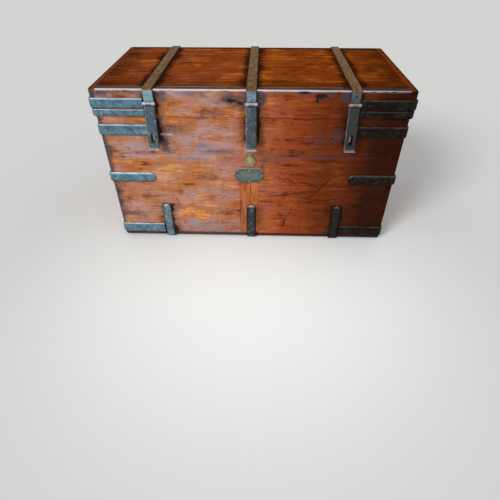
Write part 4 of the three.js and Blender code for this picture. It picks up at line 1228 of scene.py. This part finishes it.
def hasp_section(width, thick, bevel, count=15):
    """Points (across, lift) round a plate: its front is lift 0 and falls back along the edges as a
    parabola, and its back corners are taken off."""
    across, inward = across_plate(width, bevel, count)
    front = np.stack([across, bevel * (1 - inward) ** 2], axis=1)
    half = width / 2
    back = np.array([[half, thick - bevel], [half - bevel, thick], [bevel - half, thick],
                     [-half, thick - bevel]])
    return np.concatenate([front, back]), np.append(1 - inward, np.zeros(4))


def slot_tool():
    """A bar along Y through the plate, with the outline of the slot: two half circles joined."""
    turn = np.linspace(0, np.pi, 13)
    rise = (SLOT_HIGH - SLOT_WIDE) / 2 + SLOT_WIDE / 2 * np.sin(turn)
    upper = np.stack([SLOT_WIDE / 2 * np.cos(turn), rise], axis=1)
    outline = np.concatenate([upper, -upper])
    rings = np.stack([np.insert(outline, 1, depth, axis=1) for depth in (-20 * MM, 20 * MM)])
    rings[..., 2] -= SLOT_BELOW
    return new_piece("slot", rings, skin(rings), band_iron)


def hasp(name, x, slotted):
    """The plate is carried down from the pin and turned out at the lip, slotted, given its
    knuckle, tilted about the pin and moved to it."""
    face = HASP_BACK - HASP_THICK
    corners = [(0, face, 0), (0, face, HASP_FOOT), (0, face - LIP_OUT, HASP_FOOT)]
    stops = rounded_line(corners, LIP_BEND, step=3 * MM)
    section, edge = hasp_section(HASP_WIDE, HASP_THICK, HASP_BEVEL)
    plates, length, marks = struck(section, stops, 31 + len(name), HASP_PITCH)
    plates[..., 1] += (1 - plates[..., 1] / HASP_THICK) * HASP_DENT * MM * marks
    points = carried(plates, stops, (1, 0, 0))
    at_lip = np.clip((length - LIP_FROM) / LIP_SPAN, 0, 1)
    # Left edge worn with a painted highlight, lip worn and highlit, right edge in painted shadow.
    on_right = plates[..., 0] > 0
    rubbed_and_highlit = edge * ~on_right * (0.6 + 0.4 * ripple(length, 0 * length, 7, HASP_WORN_PITCH))
    made = new_piece(name + "_forged", points, skin(points), hasp_iron,
                     wear=np.maximum(rubbed_and_highlit, at_lip).clip(0, 1).ravel(),
                     cut=(edge * on_right * (1 - at_lip)).ravel())
    if slotted:
        combine(made, slot_tool(), "DIFFERENCE")
    knuckled(made, HASP_HINGE, 0, 0, 0, True)
    made.data.transform(Matrix.Translation((x, HASP_Y, HASP_Z))
                        @ Matrix.Rotation(HASP_TILT, 4, "X"))
    stands_for(made, name)


for place_name, x in STRAP_X.items():
    hasp(f"{place_name}_hasp", x, place_name != "centre")
print("hasps:", len(STRAP_X))

# %% [markdown]
# A staple is a rod bent to a U, with its legs driven into the board. A rod is the same carried
# bar with a round section, so the bend comes for free. The padlock staples show through the
# slots of the hasps, worn bright where the shackle rubs.

# %% Staples
STAPLE_HIGH, STAPLE_ROD, STAPLE_AROUND = 18 * MM, 2.25 * MM, 20
STAPLE_PITCH = 12 * MM
STAPLE_IN, STAPLE_OUT = 12 * MM, 13.75 * MM
STAPLE_Z = 361.6 * MM


def staple(name, x):
    """A rod carried out of the board, round two bends and back, with a slight waver."""
    half, leg_y, tip_y = STAPLE_HIGH / 2, BODY_FRONT + STAPLE_IN, BODY_FRONT - STAPLE_OUT
    upper, lower = STAPLE_Z + half, STAPLE_Z - half
    corners = [(x, leg_y, upper), (x, tip_y, upper), (x, tip_y, lower), (x, leg_y, lower)]
    at, out, wide, places = rounded_line(corners, 2 * STAPLE_ROD, step=2 * MM, bend=10)
    waver = 1 - 0.05 * hollows(places, 0 * places, 5, STAPLE_PITCH)
    section = STAPLE_ROD * np.stack(circle(STAPLE_AROUND), axis=1)
    points = carried(section, (at, out, wide * waver, places), (1, 0, 0))
    bent = new_piece(name + "_bent", points, skin(points), bright_iron, wear=0.4)
    stands_for(bent, name)


for side_name in ("left", "right"):
    staple(f"{side_name}_staple", STRAP_X[side_name])
print("staples: 2")

# %% [markdown]
# The brass keyhole cover is a cast drop that swings on a rivet: a small eye, a neck and a round
# medal. Its face is domed: going in from the outline to the middle line, the height rises as a
# quarter of an ellipse. So the two parameters are how far round the outline and how far in. The
# name plate is made the same way, from an eight-cornered outline and a flatter dome.

# %% Keyhole cover
def drop_outline(top, neck, low, apart, count=34):
    """Points (across, up) round a drop whose eye is at the origin, and for each the nearest point
    of the line between the two centres, which is where its dome leads to. The half width at a
    height is the soft maximum (sum of 8th powers, 8th root) of eye, neck and medal."""
    turn = np.linspace(0.02, np.pi - 0.02, count)
    height = (top + low + apart) / 2 * np.cos(turn) + (top - low - apart) / 2
    eye = np.sqrt((top ** 2 - height ** 2).clip(0))
    medal = np.sqrt((low ** 2 - (height + apart) ** 2).clip(0))
    stem = neck * ((height < 0) & (height > -apart))
    half = (eye ** 8 + medal ** 8 + stem ** 8) ** (1 / 8)
    outline = np.concatenate([np.stack([half, height], 1), np.stack([-half, height], 1)[::-1]])
    spine = np.stack([0 * outline[:, 0], outline[:, 1].clip(-apart, 0)], axis=1)
    return outline, spine


def plate_outline(width, height, corner, count=6):
    """Points (across, up) round an eight-cornered plate with count steps to each side, and for each
    the nearest point of its middle line."""
    x, z = width / 2, height / 2
    corners = np.array([(x - corner, z), (corner - x, z), (-x, z - corner), (-x, corner - z),
                        (corner - x, -z), (x - corner, -z), (x, corner - z), (x, z - corner)])
    share = np.linspace(0, 1, count, endpoint=False)[None, :, None]
    sides = (np.roll(corners, -1, axis=0) - corners)[:, None]
    outline = (corners[:, None] + share * sides).reshape(-1, 2)
    spine = np.stack([outline[:, 0].clip(z - x, x - z), 0 * outline[:, 1]], axis=1)
    return outline, spine


def domed(name, outline, spine, x, z, back, thick, material, rim, share=9, wear=0.5):
    """Rings from the outline in to its spine: the rim stands up to rim of the thickness, and the
    dome rises from it as a quarter of an ellipse. Its middle is rubbed, and its upper rim takes a
    painted highlight."""
    inward = np.sin(np.linspace(0, np.pi / 2, share))
    rise = rim + (1 - rim) * np.sqrt(1 - (1 - inward) ** 2)
    flat = outline[None] + (spine - outline)[None] * inward[:-1, None, None] ** 1.4
    lifts = np.concatenate([[0], rise[:-1]])[:, None]
    flat = np.concatenate([flat[:1], flat])
    behind = back - thick * np.broadcast_to(lifts, flat.shape[:2])
    rings = np.stack([x + flat[..., 0], behind, z + flat[..., 1]], axis=-1)
    middle = np.concatenate([[0], wear * inward[:-1] ** 2])
    rubbed_and_highlit = np.repeat(middle, rings.shape[1]).reshape(flat.shape[:2])
    # The upper rim takes a painted highlight.
    rubbed_and_highlit[:2] = 0.9 * (outline[:, 1] > np.quantile(outline[:, 1], 0.7))
    return new_piece(name, rings, skin(rings), material, wear=rubbed_and_highlit.ravel())


KEY_X, KEY_Z, COVER_BACK, COVER_THICK = -4 * MM, 305.6 * MM, -222.1 * MM, 3 * MM
EYE, NECK, MEDAL, EYE_TO_MEDAL = 7.9 * MM, 3.9 * MM, 17.2 * MM, 21.7 * MM
PLATE_CORNER = 13 * MM

outline, spine = drop_outline(EYE, NECK, MEDAL, EYE_TO_MEDAL)
cover = domed("keyhole_cover_cast", outline, spine, KEY_X, KEY_Z, COVER_BACK, COVER_THICK,
              old_brass, rim=0.3)
stands_for(cover, "keyhole_cover")
low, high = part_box("name_plate")
outline, spine = plate_outline(high.x - low.x, high.z - low.z, PLATE_CORNER)
plate = domed("name_plate_dressed", outline, spine, (low.x + high.x) / 2, (low.z + high.z) / 2,
              high.y, high.y - low.y, plate_iron, rim=0.55, wear=0.25)
stands_for(plate, "name_plate")
print("cover and plate:", len(cover.data.polygons), "and", len(plate.data.polygons), "faces")

# %% [markdown]
# Nails, pins and rivets are small domes turned about their own axis: a profile of radius and
# height, spun round. All the nails of one body are a single mesh of many closed shells. The
# arrays are worked out at once, one row for each nail, each turned to the face it is driven in.

# %% Nail heads
def dome_profile(radius, height, count=5):
    """(radius, height) from a foot ring under the surface up to the middle of the crown."""
    turn = np.linspace(0, np.pi / 2, count)[:-1]
    crown = np.stack([radius * np.cos(turn), height * np.sin(turn)], axis=1)
    return np.concatenate([[[radius, -0.8 * height]], crown])


def nails(name, places, facing, radius, height, material, around=14, wear=0.65):
    """Domes at places (n, 3) that face along facing (n, 3). Each ring is a circle round the facing
    direction, and a flat cap closes its crown."""
    places, facing = np.array(places, float), np.array(facing, float)
    side = np.cross(facing, np.roll(facing, 1, axis=1))
    side /= np.linalg.norm(side, axis=1, keepdims=True)
    up = np.cross(facing, side)
    reach, rise = dome_profile(radius, height).T[:, None, :, None, None]
    cosines, sines = (share[None, :, None] for share in circle(around))
    round_it = cosines * side[:, None] + sines * up[:, None]
    rings = places[:, None, None] + reach * round_it[:, None] + rise * facing[:, None, None]
    one = skin(rings[0])
    step = rings.shape[1] * around
    faces = [[corner + step * nail for corner in face]
             for nail in range(len(places)) for face in one]
    return new_piece(name, rings, faces, material, wear=wear)


NAIL_HEAD, PIN_HEAD = (3.4 * MM, 0.95 * MM), (1.9 * MM, 0.9 * MM)
BAND_NAILS_X, BAND_NAILS_Y = (312 * MM, 408 * MM), (-180 * MM, 0.0, 180 * MM)
STRAP_NAILS_FRONT, STRAP_NAILS_BACK = (62 * MM, 112 * MM), (60 * MM, 190 * MM, 320 * MM)
LID_NAILS_Y, LID_NAIL_Z = (-195 * MM, -65 * MM, 65 * MM, 195 * MM), 476 * MM
ON_BODY_STRAP, ON_LID_STRAP, ON_LID_FRONT = 4.85 * MM, 2.9 * MM, 3.85 * MM
PIN_X, PIN_Z = -6 * MM, 204 * MM
# In millimetres, like the thickness of a band.
NAIL_SUNK = 0.15
FRONT, REAR, UP = (0, -1, 0), (0, 1, 0), (0, 0, 1)
nail_rows = {"carcass": ([], []), "lid": ([], [])}


def drive(body_name, place, facing):
    """Notes a nail for the body."""
    nail_rows[body_name][0].append(place)
    nail_rows[body_name][1].append(facing)


for side_name, side in (("left", -1), ("right", 1)):
    for kind, (thick, _) in BANDS.items():
        low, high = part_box(f"{side_name}_{kind}_band")
        middle = (low.z + high.z) / 2
        body_name, half, front = "carcass", BODY_HALF, BODY_FRONT
        if kind in ON_LID:
            body_name, half, front = "lid", LID_HALF, LID_FRONT
        lift = SEAT + (thick - NAIL_SUNK) * MM
        for x in BAND_NAILS_X:
            drive(body_name, (side * x, front - lift, middle), FRONT)
            drive(body_name, (side * x, BACK + lift, middle), REAR)
        for y in BAND_NAILS_Y:
            drive(body_name, (side * (half + lift), y, middle), (side, 0, 0))
for x in STRAP_X.values():
    for z in STRAP_NAILS_FRONT:
        drive("carcass", (x, BODY_FRONT - SEAT - ON_BODY_STRAP, z), FRONT)
    for z in STRAP_NAILS_BACK:
        drive("carcass", (x, BACK + SEAT + ON_BODY_STRAP, z), REAR)
    for y in LID_NAILS_Y:
        drive("lid", (x, y, LID_TOP + SEAT + ON_LID_STRAP), UP)
    drive("lid", (x, LID_FRONT - SEAT - ON_LID_FRONT, LID_NAIL_Z), FRONT)
for body_name, (places, facing) in nail_rows.items():
    made = nails(f"{body_name}_nails", places, facing, *NAIL_HEAD, band_iron, wear=0.15)
    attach(made, body_name)
patch_pin = nails("patch_pin", [(PIN_X, BODY_FRONT, PIN_Z)], [FRONT], *PIN_HEAD, bright_iron)
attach(patch_pin, "carcass")
print("nails:", sum(len(rows[0]) for rows in nail_rows.values()))

# %% [markdown]
# The floor is a plain pale sheet, painted a little lighter just before the trunk than far from
# it, as the paper in a small studio is lit.

# %% Floor
FLOOR_HALF = 12.0
BRIGHTEST_AT, BRIGHT_REACH = (0.0, -0.42, 0.0), 0.85
PAPER, PAPER_LIT = (0.645, 0.645, 0.635), (0.955, 0.99, 0.975)


def sheet_of_floor():
    """A square in the plane z = 0."""
    mesh = bpy.data.meshes.new("floor")
    corners = [(x * FLOOR_HALF, y * FLOOR_HALF, 0) for x, y in ((-1, -1), (1, -1), (1, 1), (-1, 1))]
    mesh.from_pydata(corners, [], [(0, 1, 2, 3)])
    made = bpy.data.objects.new("floor", mesh)
    bpy.context.scene.collection.objects.link(made)
    return made


def floor_paper():
    """The tone falls from lit to plain with the distance from the brightest place."""
    r = Recipe("floor_paper")
    ends = {0: r.place, 1: BRIGHTEST_AT}
    far = r.node("ShaderNodeVectorMath", ends, operation="DISTANCE").outputs["Value"]
    tone = r.mix(r.fade(far, BRIGHT_REACH, 0.0), PAPER, PAPER_LIT)
    return r.finish(Base_Color=tone, Roughness=0.9, Specular_IOR_Level=0.0)


floor = sheet_of_floor()
paint(floor, floor_paper())
print("floor:", 2 * FLOOR_HALF, "m wide")

# %% [markdown]
# One wide soft light comes from high on the left, which throws the shadows to the right as in
# the photograph, and an even sky fills them.

# %% Light
SUN_FROM = (-0.58, -0.62, 0.53)
SUN_STRENGTH = 2.1
SUN_SOFTNESS = math.radians(22)
SKY_STRENGTH = 0.66

sun = bpy.data.objects.new("soft_sun", bpy.data.lights.new("soft_sun", "SUN"))
sun.data.energy = SUN_STRENGTH
sun.data.angle = SUN_SOFTNESS
sun.matrix_world = Vector(SUN_FROM).to_track_quat("Z", "Y").to_matrix().to_4x4()
bpy.context.scene.collection.objects.link(sun)
world = bpy.data.worlds.new("studio")
bpy.context.scene.world = world
world.use_nodes = True
sky = world.node_tree.nodes["Background"].inputs
sky["Color"].default_value = (1.0, 1.0, 1.0, 1)
sky["Strength"].default_value = SKY_STRENGTH
bpy.context.scene.view_settings.view_transform = "Standard"
print("sun from", SUN_FROM, "and sky of", SKY_STRENGTH)
